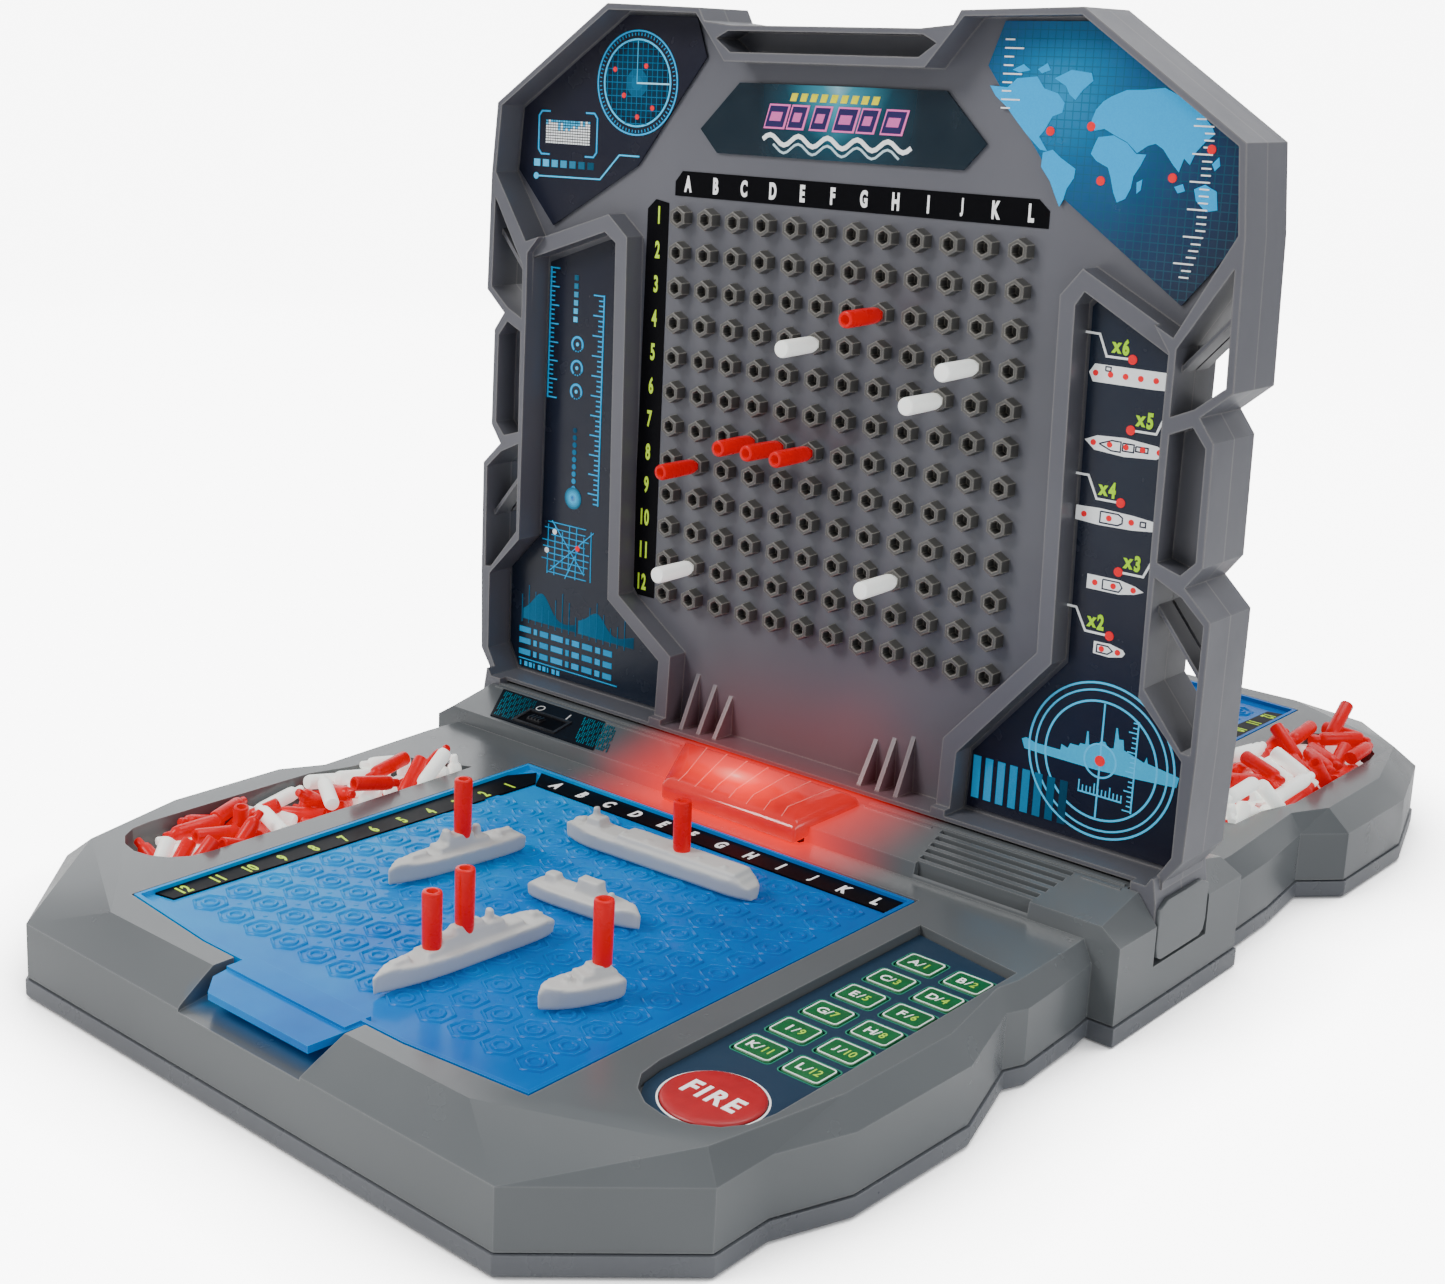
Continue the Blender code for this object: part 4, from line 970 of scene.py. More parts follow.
for k in range(24):
    z = 19.15 - 0.158 * k
    # the tick ends follow the panel's slanting edge
    x = min(10.62, 11.1 - max(0, z - 18.6) * 1.3) - max(0, 16.6 - z) * 0.28
    ink.line((x - (0.24, 0.50)[k % 4 == 1], z), (x, z), 0.036, WHITE, lift=0.005)
pair(ink.done("chart_graphic_f"), "screen")

# --- gauge panel: two upright rules
ink = Print(on_face(SHEET_Y))
ink.line((-10.24, 9.92), (-10.20, 13.92), 0.05, CYAN)
for k in range(29):
    z = 9.95 + 3.94 * k / 28
    ink.line((-10.24, z), (-10.24 + (0.2 if k % 4 else 0.38), z), 0.04, CYAN)
ink.line((-8.02, 6.86), (-8.02, 13.25), 0.05, CYAN)
for k in range(43):
    z = 6.9 + 6.32 * k / 42
    ink.line((-8.02 - (0.42 if k % 4 == 2 else 0.2), z), (-8.02, z), 0.04, CYAN)
# fading blocks, three dials, a string of dots and a glow between the rules
for k, strength in enumerate((1, 0.85, 0.65, 0.5, 0.28, 0.15)):
    ink.rect(-9.24, 12.34 + 0.25 * k, -9.08, 12.50 + 0.25 * k, ink.fade(SKY, strength))
for z in (11.68, 10.96, 10.24):
    ink.ring((-9.05, z), 0.25, 0.07, CYAN, span=(-25, 235), n=22)
    ink.disc((-9.05, z), 0.06, SKY, n=10)
    for a in (255, 280, 305, 325):
        a = math.radians(a)
        ink.disc((-9.05 + 0.22 * math.cos(a), z + 0.22 * math.sin(a)), 0.022, CYAN, n=6)
for k in range(9):
    ink.disc((-9.05, 7.25 + 0.225 * k), 0.085, ink.fade(CYAN, 0.75 - 0.08 * k), n=12)
for k in range(5):
    ink.disc((-9.05, 6.94), 0.34 - 0.06 * k, ink.fade((0.05, 0.52, 0.9), 0.25 + 0.18 * k),
             n=24, lift=0.001 * k)
ink.disc((-9.05, 6.94), 0.09, (0.75, 0.92, 1.0), n=14, lift=0.006)
# uneven net with three contacts
rnd = random.Random(4)
for k in range(7):
    x = -10.05 + 0.3 * k
    ink.line((x + rnd.uniform(-.03, .03), 4.35 + rnd.uniform(0, .4)),
             (x, 6.15 - rnd.uniform(0, .45)), 0.03, ink.fade(CYAN, 0.85))
for k in range(9):
    z = 4.45 + 0.2 * k
    ink.line((-10.35 + rnd.uniform(0, .5), z), (-8.12 - rnd.uniform(0, .4), z), 0.03,
             ink.fade(CYAN, 0.85))
ink.line((-9.95, 4.5), (-8.15, 6.0), 0.03, CYAN)
ink.line((-9.9, 6.1), (-8.5, 4.6), 0.03, CYAN)
ink.line((-9.3, 4.35), (-8.7, 5.5), 0.03, CYAN)
for p, colour in (((-9.78, 5.76), WHITE), ((-10.1, 5.12), WHITE), ((-8.8, 5.40), RED)):
    ink.disc(p, 0.09, colour, n=12, lift=0.006)
# two filled humps: offset, height, phase
for offset, hump, phase in ((0.0, 0.34, 0.2), (1.9, 0.30, 1.1)):
    before = None
    for k in range(30):
        t = k / 29
        x = -11.05 + offset * 1.25 + 2.3 * t
        z = (3.0 + hump * (math.exp(-((t - 0.35) / 0.2) ** 2) * 1.7)
             + 0.12 * math.sin(6 * t + phase))
        if before:
            ink.poly([(before[0], 2.72), (x, 2.72), (x, z), before],
                     ink.fade((0.01, 0.22, 0.42), 0.5 * (1 - t * 0.6)), thick=0.006)
        before = (x, z)
for k in range(17):
    x = -11.1 + 0.29 * k
    if -11.2 < x < -6.6:
        ink.line((x, 2.6), (x, 3.5 + 0.35 * math.sin(k * 1.3)), 0.018, ink.fade(CYAN, 0.35))
# rows of plain dashes
for row, z in enumerate((2.36, 1.99, 1.62)):
    x = -11.2
    for k, w in enumerate((0.5, 0.14, 0.36, 0.5, 0.14, 0.3, 0.42, 0.2, 0.36)):
        if x + w > -6.65 + 0.2 * row:
            break
        ink.rect(x, z - 0.09, x + w, z + 0.09, ink.fade(CYAN, 0.9 if k % 2 else 0.7))
        x += w + 0.13
ink.line((-11.2, 1.40), (-7.0, 1.40), 0.035, ink.fade(CYAN, 0.8))
for k in range(9):
    x = -11.15 + 0.2 * k
    ink.rect(x, 1.17, x + (0.13 if k % 3 else 0.05), 1.32, CYAN)
pair(ink.done("gauge_graphic_f"), "screen")

# --- fleet panel: the five boats with their peg counts, and a sighting ring
ink = Print(on_face(SHEET_Y))
COUNT_GREEN = (0.40, 0.78, 0.01)


def callout(number, u, v, leader):
    ink.text("x", u - 0.145, v - 0.035, 0.26, COUNT_GREEN, wide=0.80, bold=0.045)
    ink.text(number, u + 0.10, v, 0.40, COUNT_GREEN, wide=0.68, bold=0.05)
    ink.path(leader, 0.055, WHITE)
    ink.disc(leader[-1], 0.12, RED, n=14, lift=0.006)


def plan(outline, holes, *houses):
    """Boat seen from above: white hull, dark deckhouse outlines, red peg holes."""
    ink.poly(outline, WHITE, thick=0.010)
    for house in houses:
        ink.path(house + [house[0]], 0.035, (0.03, 0.03, 0.05), lift=0.004)
    for hole in holes:
        ink.disc(hole, 0.075, RED, n=12, lift=0.008)


callout("6", 8.80, 13.72, [(7.75, 13.98), (8.18, 13.97), (8.41, 13.45), (9.10, 13.45)])
plan([(7.98, 13.02), (8.12, 13.24), (10.22, 13.24), (10.22, 12.82), (9.7, 12.80), (8.10, 12.80)],
     [(8.16 + 0.4 * k, 13.02) for k in range(6)], rectangle(8.42, 13.10, 8.56, 13.20))
callout("5", 9.60, 12.04, [(10.24, 12.31), (10.10, 12.27), (9.89, 11.75), (9.22, 11.75)])
plan([(8.02, 11.36), (8.35, 11.5), (9.1, 11.54), (9.95, 11.46), (10.25, 11.33), (9.95, 11.14),
      (9.1, 11.08), (8.3, 11.14)], [(8.26 + 0.44 * k, 11.32) for k in range(5)],
     [(8.42, 11.31), (8.75, 11.43), (9.0, 11.43), (9.0, 11.18), (8.75, 11.18)],
     [(9.05, 11.41), (9.35, 11.41), (9.35, 11.22), (9.05, 11.22)],
     [(9.4, 11.38), (9.72, 11.38), (9.72, 11.26), (9.4, 11.26)])
callout("4", 8.78, 10.21, [(7.80, 10.49), (8.21, 10.49), (8.48, 9.94), (9.13, 9.94)])
plan([(7.95, 9.70), (8.6, 9.72), (9.5, 9.68), (10.25, 9.60), (10.25, 9.40), (9.5, 9.32),
      (8.6, 9.30), (7.95, 9.34)], [(x, 9.51) for x in (8.18, 8.86, 9.46, 10.12)],
     [(8.62, 9.65), (9.1, 9.65), (9.22, 9.58), (9.22, 9.44), (9.1, 9.37), (8.62, 9.37)],
     [(9.7, 9.57), (9.84, 9.57), (9.84, 9.45), (9.7, 9.45)])
callout("3", 9.62, 8.52, [(10.24, 8.78), (10.12, 8.71), (9.90, 8.23), (9.24, 8.23)])
plan([(8.42, 8.03), (9.3, 8.03), (9.72, 7.95), (9.95, 7.85), (9.72, 7.75), (9.3, 7.67),
      (8.42, 7.67)], [(x, 7.85) for x in (8.64, 9.14, 9.68)],
     [(8.85, 7.97), (9.3, 7.97), (9.38, 7.85), (9.3, 7.73), (8.85, 7.73)])
callout("2", 8.79, 6.87, [(7.80, 7.13), (8.19, 7.13), (8.49, 6.58), (9.16, 6.58)])
plan([(8.76, 6.37), (9.2, 6.38), (9.55, 6.30), (9.62, 6.22), (9.55, 6.12), (9.2, 6.04),
      (8.76, 6.06)], [(8.98, 6.21), (9.42, 6.21)],
     [(8.85, 6.31), (9.15, 6.31), (9.28, 6.21), (9.15, 6.11), (8.85, 6.11)])
SIGHT = SIGHT_X, SIGHT_Z = (9.22, 3.34)
for radius, w in ((2.04, 0.055), (1.85, 0.05), (1.57, 0.055), (0.46, 0.05)):
    ink.ring(SIGHT, radius, w, SKY, n=72)
ink.line((SIGHT_X, SIGHT_Z - 1.55), (SIGHT_X, SIGHT_Z + 1.5), 0.045, SKY)
SHIP_SIDE_VIEW = [
    (6.98, 3.36), (7.10, 3.42), (7.4, 3.34), (8.10, 3.34), (8.12, 3.50), (8.3, 3.44),
    (8.36, 3.58), (8.6, 3.58), (8.64, 3.66), (8.78, 3.66), (8.80, 4.02), (8.84, 4.02),
    (8.88, 3.68), (9.1, 3.72), (9.2, 3.86), (9.32, 3.86), (9.4, 3.72), (9.56, 3.76),
    (9.58, 4.3), (9.62, 4.3), (9.68, 4.02), (9.80, 4.04), (9.84, 3.78), (10.1, 3.70),
    (10.4, 3.60), (10.46, 3.76), (10.5, 3.60), (11.2, 3.50), (11.35, 3.46), (11.30, 3.20),
    (10.4, 3.14), (9.2, 3.08), (7.6, 3.10), (7.08, 3.12)]
ink.poly(SHIP_SIDE_VIEW, (0.02, 0.40, 0.70), thick=0.008)
ink.disc(SIGHT, 0.14, RED, n=18, lift=0.008)
ink.line((10.17, 2.2), (10.17, 4.6), 0.04, SKY)
for k in range(19):
    z = 2.24 + 2.3 * k / 18
    ink.line((10.17 - (0.14 if k % 4 else 0.24), z), (10.17, z), 0.03, SKY)
ink.line((8.68, 2.42), (9.90, 2.42), 0.04, SKY)
for k in range(12):
    x = 8.70 + 1.18 * k / 11
    ink.line((x, 2.42), (x, 2.42 + (0.18 if k % 4 else 0.30)), 0.03, SKY)
for k, strength in enumerate((0.85, 0.8, 0.7, 0.62, 0.5, 0.34, 0.2, 0.1)):
    x = 5.62 + 0.365 * k
    ink.rect(x, 1.40, x + 0.22, 2.56, ink.fade(CYAN, strength))
pair(ink.done("fleet_graphic_f"), "screen")


# ================================================================== keypad and fire button
FIRE = (9.15, -15.13)
KEYS = [(8.61 + 1.30 * column - 0.02 * row, -6.87 - 1.178 * row - 0.03 * column)
        for row in range(6) for column in range(2)]
KEY_HALF_X, KEY_HALF_Y = 0.49, 0.41


def key_outline(x, y, inset, radius):
    """Rounded rectangle inside the key's edge, or outside it for a negative inset."""
    dx, dy = KEY_HALF_X - inset - radius, KEY_HALF_Y - inset - radius
    points = []
    for k, (sx, sy) in enumerate(((1, 1), (-1, 1), (-1, -1), (1, -1))):
        points += arc(x + sx * dx, y + sy * dy, radius, 90 * k, 90 * k + 90, 4)
    return points


# key side and rounded top: inset, z
KEY_PROFILE = ((0.0, -0.40), (0.0, -0.235), (0.008, -0.217), (0.03, -0.204), (0.07, -0.200))
bm = bmesh.new()
for x, y in KEYS:
    loft([at_z(key_outline(x, y, inset, 0.10), z) for inset, z in KEY_PROFILE], bm)
pair(smooth(make("key_tops_f", bm, "key_green"), 40), "keys_{}", "key_mat_{}")

ink = Print(on_deck(-0.205))
for k, (x, y) in enumerate(KEYS):
    ink.frame(key_outline(x, y, 0.025, 0.10), key_outline(x, y, 0.053, 0.08),
              (0.80, 0.90, 0.84))
    number = str(k + 1)
    wider = len(number) - 1
    ink.text(LETTERS[k], x - 0.16 - 0.05 * wider, y, 0.28, LETTER_WHITE, wide=0.92, bold=0.014)
    ink.text("/", x + 0.015 - 0.05 * wider, y, 0.26, (0.75, 0.85, 0.75), wide=0.95, bold=0.01)
    ink.text(number, x + 0.165 + 0.02 * wider, y, 0.26, (0.40, 0.66, 0.06), wide=0.78,
             bold=0.006)
pair(ink.done("key_labels_f"), "keys_{}")

# printed rim round each key hole and round the fire button
ink = Print(on_deck(-0.23), thick=0.008)
for x, y in KEYS:
    ink.frame(key_outline(x, y, -0.065, 0.12), key_outline(x, y, -0.04, 0.11),
              (0.03, 0.20, 0.13))
ink.ring(FIRE, 1.165, 0.042, (0.86, 0.86, 0.86), n=64)
pair(ink.done("keypad_print_f"), "case")

# stem, flange and domed cap: radius, z
FIRE_PROFILE = ((0.74, -0.58), (0.74, -0.24), (1.095, -0.235), (1.10, -0.205), (1.08, -0.175),
                (1.03, -0.158), (0.9, -0.148), (0.5, -0.142))
fire = make("fire_cap_f", loft([at_z(circle(*FIRE, r, 48), z) for r, z in FIRE_PROFILE]),
            "fire_red")
pair(smooth(fire, 40), "fire_{}", "fire_button_{}")
ink = Print(on_deck(-0.156), thick=0.022)
ink.text("FIRE", FIRE[0] + 0.02, FIRE[1] - 0.02, 0.56, (0.95, 0.93, 0.93), wide=0.84,
         bold=0.030, gap=1.26)
pair(ink.done("fire_legend_f"), "fire_{}")


# ================================================================== switch plate, front only
def on_slope(u, v, h):
    """The deck's slope up to the screen."""
    return (u, v, 0.42 + (v + 3.2) * 0.2057 + h)


ink = Print(on_slope, thick=0.022, ground=(0.004, 0.006, 0.010))
ink.poly([(-10.52, -1.56), (-6.22, -1.56), (-5.35, -3.02), (-9.62, -3.02)],
         (0.006, 0.008, 0.012))
# fine slanting strokes, stepped in rows, at each end
for side, (x0, x1) in enumerate(((-10.36, -9.05), (-7.0, -5.75))):
    for j in range(9):
        v = -1.66 - 0.142 * j
        shift = (v + 1.56) / -1.46 * 0.88
        for k in range(17):
            if (k + 2 * j + 3 * side) % 5 == 4:
                continue
            u = x0 + (x1 - x0) * k / 16 + shift
            ink.poly([(u, v), (u + 0.022, v), (u + 0.072, v - 0.125), (u + 0.05, v - 0.125)],
                     ink.fade((0.01, 0.30, 0.42), 0.75 - 0.03 * k), lift=0.002)
ink.ring((-8.55, -1.93), 0.15, 0.035, (0.5, 0.5, 0.5), n=20, lift=0.004)
ink.line((-7.42, -1.78), (-7.36, -2.06), 0.045, (0.5, 0.5, 0.5), lift=0.004)
ink.poly([(-8.75, -2.22), (-7.05, -2.22), (-7.05, -2.86), (-8.75, -2.86)], BLACK, lift=0.006)
attach(ink.done("switch_plate_f"), "case")

bm = bmesh.new()
# frame bars: x0, y0, x1, y1
for bar in ((-8.78, -2.22, -7.02, -2.14), (-8.78, -2.94, -7.02, -2.86),
            (-8.78, -2.86, -8.68, -2.22), (-7.12, -2.86, -7.02, -2.22)):
    loft([[on_slope(x, y, h) for x, y in rectangle(*bar)] for h in (-0.05, 0.07)], bm)
attach(make("switch_frame", bm, "black_finish"), "case")

bm = extrude_z(rectangle(-8.40, -2.70, -7.86, -2.38), 0.45, 0.60)
for k in range(4):
    x = -8.37 + 0.135 * k
    loft([at_z(rectangle(x, -2.69, x + 0.07, -2.39), 0.58),
          at_z(rectangle(x + 0.01, -2.67, x + 0.06, -2.41), 0.67)], bm)
attach(make("switch_grip", bm, "black_finish"), "power_switch")

# ================================================================== signal lens
# loops from the bottom up, each from its low front edge to its high back edge
lens = make("signal_lens_f", loft([
    [(-2.2, -3.62, 0.015), (2.42, -3.62, 0.015), (3.05, -1.55, 0.60), (-3.15, -1.55, 0.60)],
    [(-2.2, -3.62, 0.46), (2.42, -3.62, 0.46), (3.05, -1.55, 0.86), (-3.15, -1.55, 0.86)],
    [(-2.12, -3.46, 0.60), (2.33, -3.46, 0.60), (2.93, -1.62, 1.00), (-3.03, -1.62, 1.00)],
    [(-1.9, -3.10, 0.78), (2.1, -3.10, 0.78), (2.6, -1.8, 1.08), (-2.7, -1.8, 1.08)],
]), "signal_red")
round_edges(lens, 0.07, segments=3, angle=14)
pair(smooth(lens, 40), "case", "signal_lens_{}")

# ribs running from front to back over the lens
bm = bmesh.new()
for k in range(7):
    x = -1.75 + 0.6 * k
    front, back = Vector((x, -3.44, 0.60)), Vector((x * 1.22 + 0.02, -1.78, 1.075))
    bend = Vector((x * 0.98, -3.12, 0.775))
    for p, q in ((front, bend), (bend, back)):
        loft([[p + Vector((-half, 0, h)), p + Vector((half, 0, h)),
               q + Vector((half, 0, h)), q + Vector((-half, 0, h))]
              for half, h in ((0.022, -0.05), (0.012, 0.018))], bm)
pair(make("lens_ribs_f", bm, "signal_red"), "case")

# ================================================================== ocean trays
OCEAN = [(6.70, -4.32), (6.70, -17.95), (3.38, -18.3), (-3.38, -18.3), (-6.70, -17.95),
         (-6.70, -4.32)]
PAN = [(6.60, -4.42), (6.60, -17.84), (3.34, -18.18), (-3.34, -18.18), (-6.60, -17.84),
       (-6.60, -4.42)]
TAB = [(-2.1, -18.2), (2.15, -18.2), (2.05, -19.75), (-1.35, -19.75), (-1.9, -19.2)]
TAB_ROOT = [(-2.0, -18.0), (2.05, -18.0), (2.05, -18.75), (-2.0, -18.75)]
PAN_Z = -0.15       # foot of the moulded relief
tray = make("ocean_sheet_f", extrude_z(OCEAN, -0.28, 0.01), "ocean_blue")
boolean(tray, extrude_z(PAN, -0.13, 1.0))
boolean(tray, extrude_z(TAB, -0.24, -0.06), "UNION")
boolean(tray, extrude_z(TAB_ROOT, -0.10, 0.01), "UNION")
tidy(tray)
round_edges(tray, 0.04, angle=24)
flat_normals(tray)
pair(tray, "tray_{}", "ocean_tray_{}")

# a hexagonal ridge round each cell and a round one inside it: sides, (radius, z) section
RIDGES = ((6, ((0.49, PAN_Z), (0.462, -0.100), (0.43, -0.082), (0.395, -0.100),
               (0.365, PAN_Z))),
          (12, ((0.245, PAN_Z), (0.228, -0.098), (0.195, -0.082), (0.150, -0.092),
                (0.125, PAN_Z))))
bm = bmesh.new()
for i in range(CELLS):
    for j in range(CELLS):
        if i == 0 and j == 0:
            continue
        cx, cy = -5.27 + 1.0 * i, -5.86 - 0.99 * j
        for sides, section in RIDGES:
            angles = [2 * math.pi * (k + 0.5) / sides for k in range(sides)]
            loops = [[bm.verts.new((cx + r * math.cos(a), cy + r * math.sin(a), z))
                      for a in angles] for r, z in section]
            loops.append(loops[0])
            for low, high in zip(loops, loops[1:]):
                for k in range(sides):
                    n = (k + 1) % sides
                    bm.faces.new((low[k], low[n], high[n], high[k]))
# small studs between the cells
for j in range(CELLS - 1):
    for i in range(CELLS - 1):
        cx, cy = -4.77 + 1.0 * i, -6.36 - 0.99 * j
        loft([at_z(circle(cx, cy, 0.12, 8), PAN_Z), at_z(circle(cx, cy, 0.05, 8), -0.115)], bm)
pair(smooth(make("ocean_relief_f", bm, "ocean_blue"), 60), "tray_{}")

ink = Print(on_deck(-0.13), thick=0.05)
ink.poly([(-6.05, -4.44), (6.50, -4.44), (6.50, -5.24), (-5.50, -5.24)], BLACK)
ink.poly([(-6.16, -4.52), (-5.60, -5.14), (-6.00, -17.30), (-6.58, -17.42), (-6.58, -5.3)],
         BLACK)
for i, letter in enumerate(LETTERS):
    ink.text(letter, -5.02 + 1.0 * i, -4.86, 0.46, LETTER_WHITE, wide=0.64, bold=0.045,
             lift=0.008)
    ink.text(str(i + 1), -5.93 - 0.030 * i, -5.85 - 0.995 * i, 0.42, LIME, wide=0.64,
             bold=0.034, spin=90, lift=0.008, gap=1.1)
pair(ink.done("tray_scales_f"), "tray_{}")

# ================================================================== pegs in the screen
# lathe profiles as (radius, height) from the tip; red pegs are hollow at the top
RED_PEG = [(0, 0.03), (0.10, 0.03), (0.125, 0.06), (0.125, 0.28), (0.195, 0.35), (0.215, 0.45),
           (0.226, 0.9), (0.228, 1.66), (0.210, 1.715), (0.185, 1.73), (0.135, 1.73),
           (0.120, 1.70), (0.112, 1.18), (0, 1.14)]
WHITE_PEG = [(0, 0.03), (0.10, 0.03), (0.125, 0.06), (0.125, 0.28), (0.20, 0.35),
             (0.222, 0.45), (0.230, 0.9), (0.236, 1.66), (0.228, 1.705), (0.205, 1.728),
             (0.12, 1.738), (0, 1.74)]
BOAT_PEG = [(0, 0.03), (0.10, 0.03), (0.16, 0.10), (0.222, 0.20), (0.228, 0.6), (0.236, 1.66),
            (0.222, 1.715), (0.195, 1.73), (0.140, 1.73), (0.124, 1.70), (0.115, 1.18),
            (0, 1.14)]
# colour, number, column, row from the top
SCREEN_PEGS = (("red", 1, 7, 3), ("red", 2, 3, 7), ("red", 3, 4, 7), ("red", 4, 5, 7),
               ("red", 5, 1, 8), ("white", 1, 5, 4), ("white", 2, 10, 4), ("white", 3, 9, 5),
               ("white", 4, 8, 10), ("white", 5, 1, 11))


def make_peg(node, profile, colour, at, direction, body):
    turn = Vector((0, 0, 1)).rotation_difference(Vector(direction))
    matrix = Matrix.Translation(at) @ turn.to_matrix().to_4x4()
    ob = make(node + "_shape", lathe(profile, 24, matrix), "peg_%s_plastic" % colour)
    attach(smooth(ob, 38), body, node)


for colour, number, column, row in SCREEN_PEGS:
    rnd = random.Random(column * 13 + row)
    direction = (rnd.uniform(-.012, .012), -1, rnd.uniform(-.02, .004))
    make_peg("peg_%s_%d" % (colour, number), RED_PEG if colour == "red" else WHITE_PEG, colour,
             (GRID_X0 + column, -0.20, GRID_Z0 + CELLS - row), direction, colour + "_pegs")


# ================================================================== ships
SHIP_Z = 0.06


def hull(length, beam, deck, bow, stern, stations=40):
    """Lofted along +X with the bow at +X: rounded bilge, flared bow, rounded stern.
    bow and stern are the shares of the length that taper."""
    loops = []
    keel = -0.06
    for i in range(stations + 1):
        t = i / stations
        x = (t - 0.5) * length
        share = 1.0
        if t > 1 - bow:
            s = (t - (1 - bow)) / bow
            share = max(0.10, (1 - s ** 2.4))
        if t < stern:
            s = 1 - t / stern
            share = min(share, math.sqrt(max(0.12, 1 - 0.75 * s ** 2)))
        half = beam / 2 * share
        sheer = 0.07 * max(0, (t - 0.7) / 0.3) ** 2
        section = [(1, deck + sheer), (0.97, deck - 0.10 + sheer), (0.80, keel + 0.07),
                   (0.62, keel)]
        loops.append([(x, -half * w, z) for w, z in section]
                     + [(x, half * w, z) for w, z in section[::-1]])
    return loft(loops)


def block(bm, x0, x1, half, z0, z1, slope=0.0, top=None):
    """Deckhouse narrowing to half width top, its ends leaning in by slope."""
    top = half if top is None else top
    loft([at_z(rectangle(x0, -half, x1, half), z0),
          at_z(rectangle(x0 + slope, -top, x1 - slope, top), z1)], bm)


def post(bm, x, radius, z0, z1, y=0.0, top=None):
    top = radius if top is None else top
    loft([at_z(circle(x, y, radius, 12), z0), at_z(circle(x, y, top, 12), z1)], bm)


def gun(bm, x, z, toward, radius=0.13, length=0.42):
    """Turret with two barrels pointing to +X or -X."""
    post(bm, x, radius, z - 0.05, z + 0.09, top=radius * 0.82)
    start, end = sorted((x, x + toward * length))
    for y in (-0.055, 0.055):
        loft([[(at, py, pz) for py, pz in rectangle(y - half, z + low, y + half, z + 0.075)]
              for at, half, low in ((start, 0.032, 0.01), (end, 0.028, 0.02))], bm)


def carrier():
    bm = hull(6.1, 0.70, 0.34, bow=0.22, stern=0.12)
    block(bm, -2.75, 1.15, 0.30, 0.28, 0.50, 0.10, 0.27)
    block(bm, -2.85, 2.35, 0.25, 0.28, 0.42, 0.05)
    block(bm, 1.75, 2.25, 0.20, 0.38, 0.62, 0.04, 0.16)
    post(bm, 2.05, 0.085, 0.55, 0.84)
    gun(bm, 2.45, 0.42, 1, 0.12, 0.3)
    for k in range(5):
        post(bm, -2.2 + 0.8 * k, 0.055, 0.45, 0.545, y=0.12)
    return bm


def battleship():
    bm = hull(4.25, 0.66, 0.34, bow=0.40, stern=0.2)
    block(bm, -0.95, 0.75, 0.21, 0.28, 0.50, 0.08, 0.18)
    block(bm, -0.45, 0.45, 0.18, 0.45, 0.68, 0.05, 0.15)
    post(bm, 0.33, 0.13, 0.6, 0.82, top=0.10)
    post(bm, -0.62, 0.12, 0.42, 0.74, top=0.10)
    gun(bm, 1.05, 0.38, 1)
    gun(bm, -1.35, 0.38, -1)
    return bm


def cruiser():
    bm = hull(5.24, 0.68, 0.34, bow=0.45, stern=0.15)
    block(bm, -1.7, 1.35, 0.23, 0.28, 0.47, 0.10, 0.20)
    block(bm, -1.1, 0.85, 0.19, 0.44, 0.62, 0.07, 0.16)
    block(bm, -0.5, 0.42, 0.15, 0.58, 0.74, 0.05, 0.12)
    post(bm, -0.75, 0.11, 0.55, 0.86, top=0.09)
    gun(bm, 1.72, 0.38, 1, 0.13, 0.4)
    gun(bm, -2.05, 0.38, -1, 0.12, 0.3)
    return bm


def submarine():
    bm = hull(3.3, 0.66, 0.30, bow=0.35, stern=0.30)
    block(bm, -1.1, 1.0, 0.20, 0.24, 0.40, 0.16, 0.14)
    block(bm, -0.2, 0.55, 0.15, 0.34, 0.66, 0.06, 0.12)
    block(bm, -1.2, -0.75, 0.16, 0.26, 0.54, 0.05, 0.11)
    post(bm, 0.78, 0.10, 0.3, 0.52, top=0.07)
    return bm


def patrol():
    bm = hull(2.1, 0.72, 0.36, bow=0.55, stern=0.18, stations=30)
    block(bm, -0.85, 0.15, 0.24, 0.30, 0.50, 0.06, 0.20)
    block(bm, -0.72, -0.15, 0.19, 0.45, 0.62, 0.05, 0.15)
    post(bm, 0.30, 0.09, 0.32, 0.50)
    return bm


# builder, centre x and y, heading in degrees, pegs as (place along the hull, height over
# SHIP_Z, name ending)
ON_DECK, ON_TOWER = 0.16, 0.16 + 0.3
FLEET = ((carrier, 0.8, -7.23, 183, [(-0.76, ON_DECK, "")]),
         (battleship, -2.77, -10.93, 263.6, [(-0.18, ON_TOWER, "")]),
         (cruiser, 1.4, -14.65, 266.5, [(0.95, ON_DECK, "_1"), (0.0, ON_TOWER, "_2")]),
         (submarine, 1.4, -10.61, 5.4, []),
         (patrol, 4.57, -14.17, 251.4, [(-0.53, ON_TOWER, "")]))


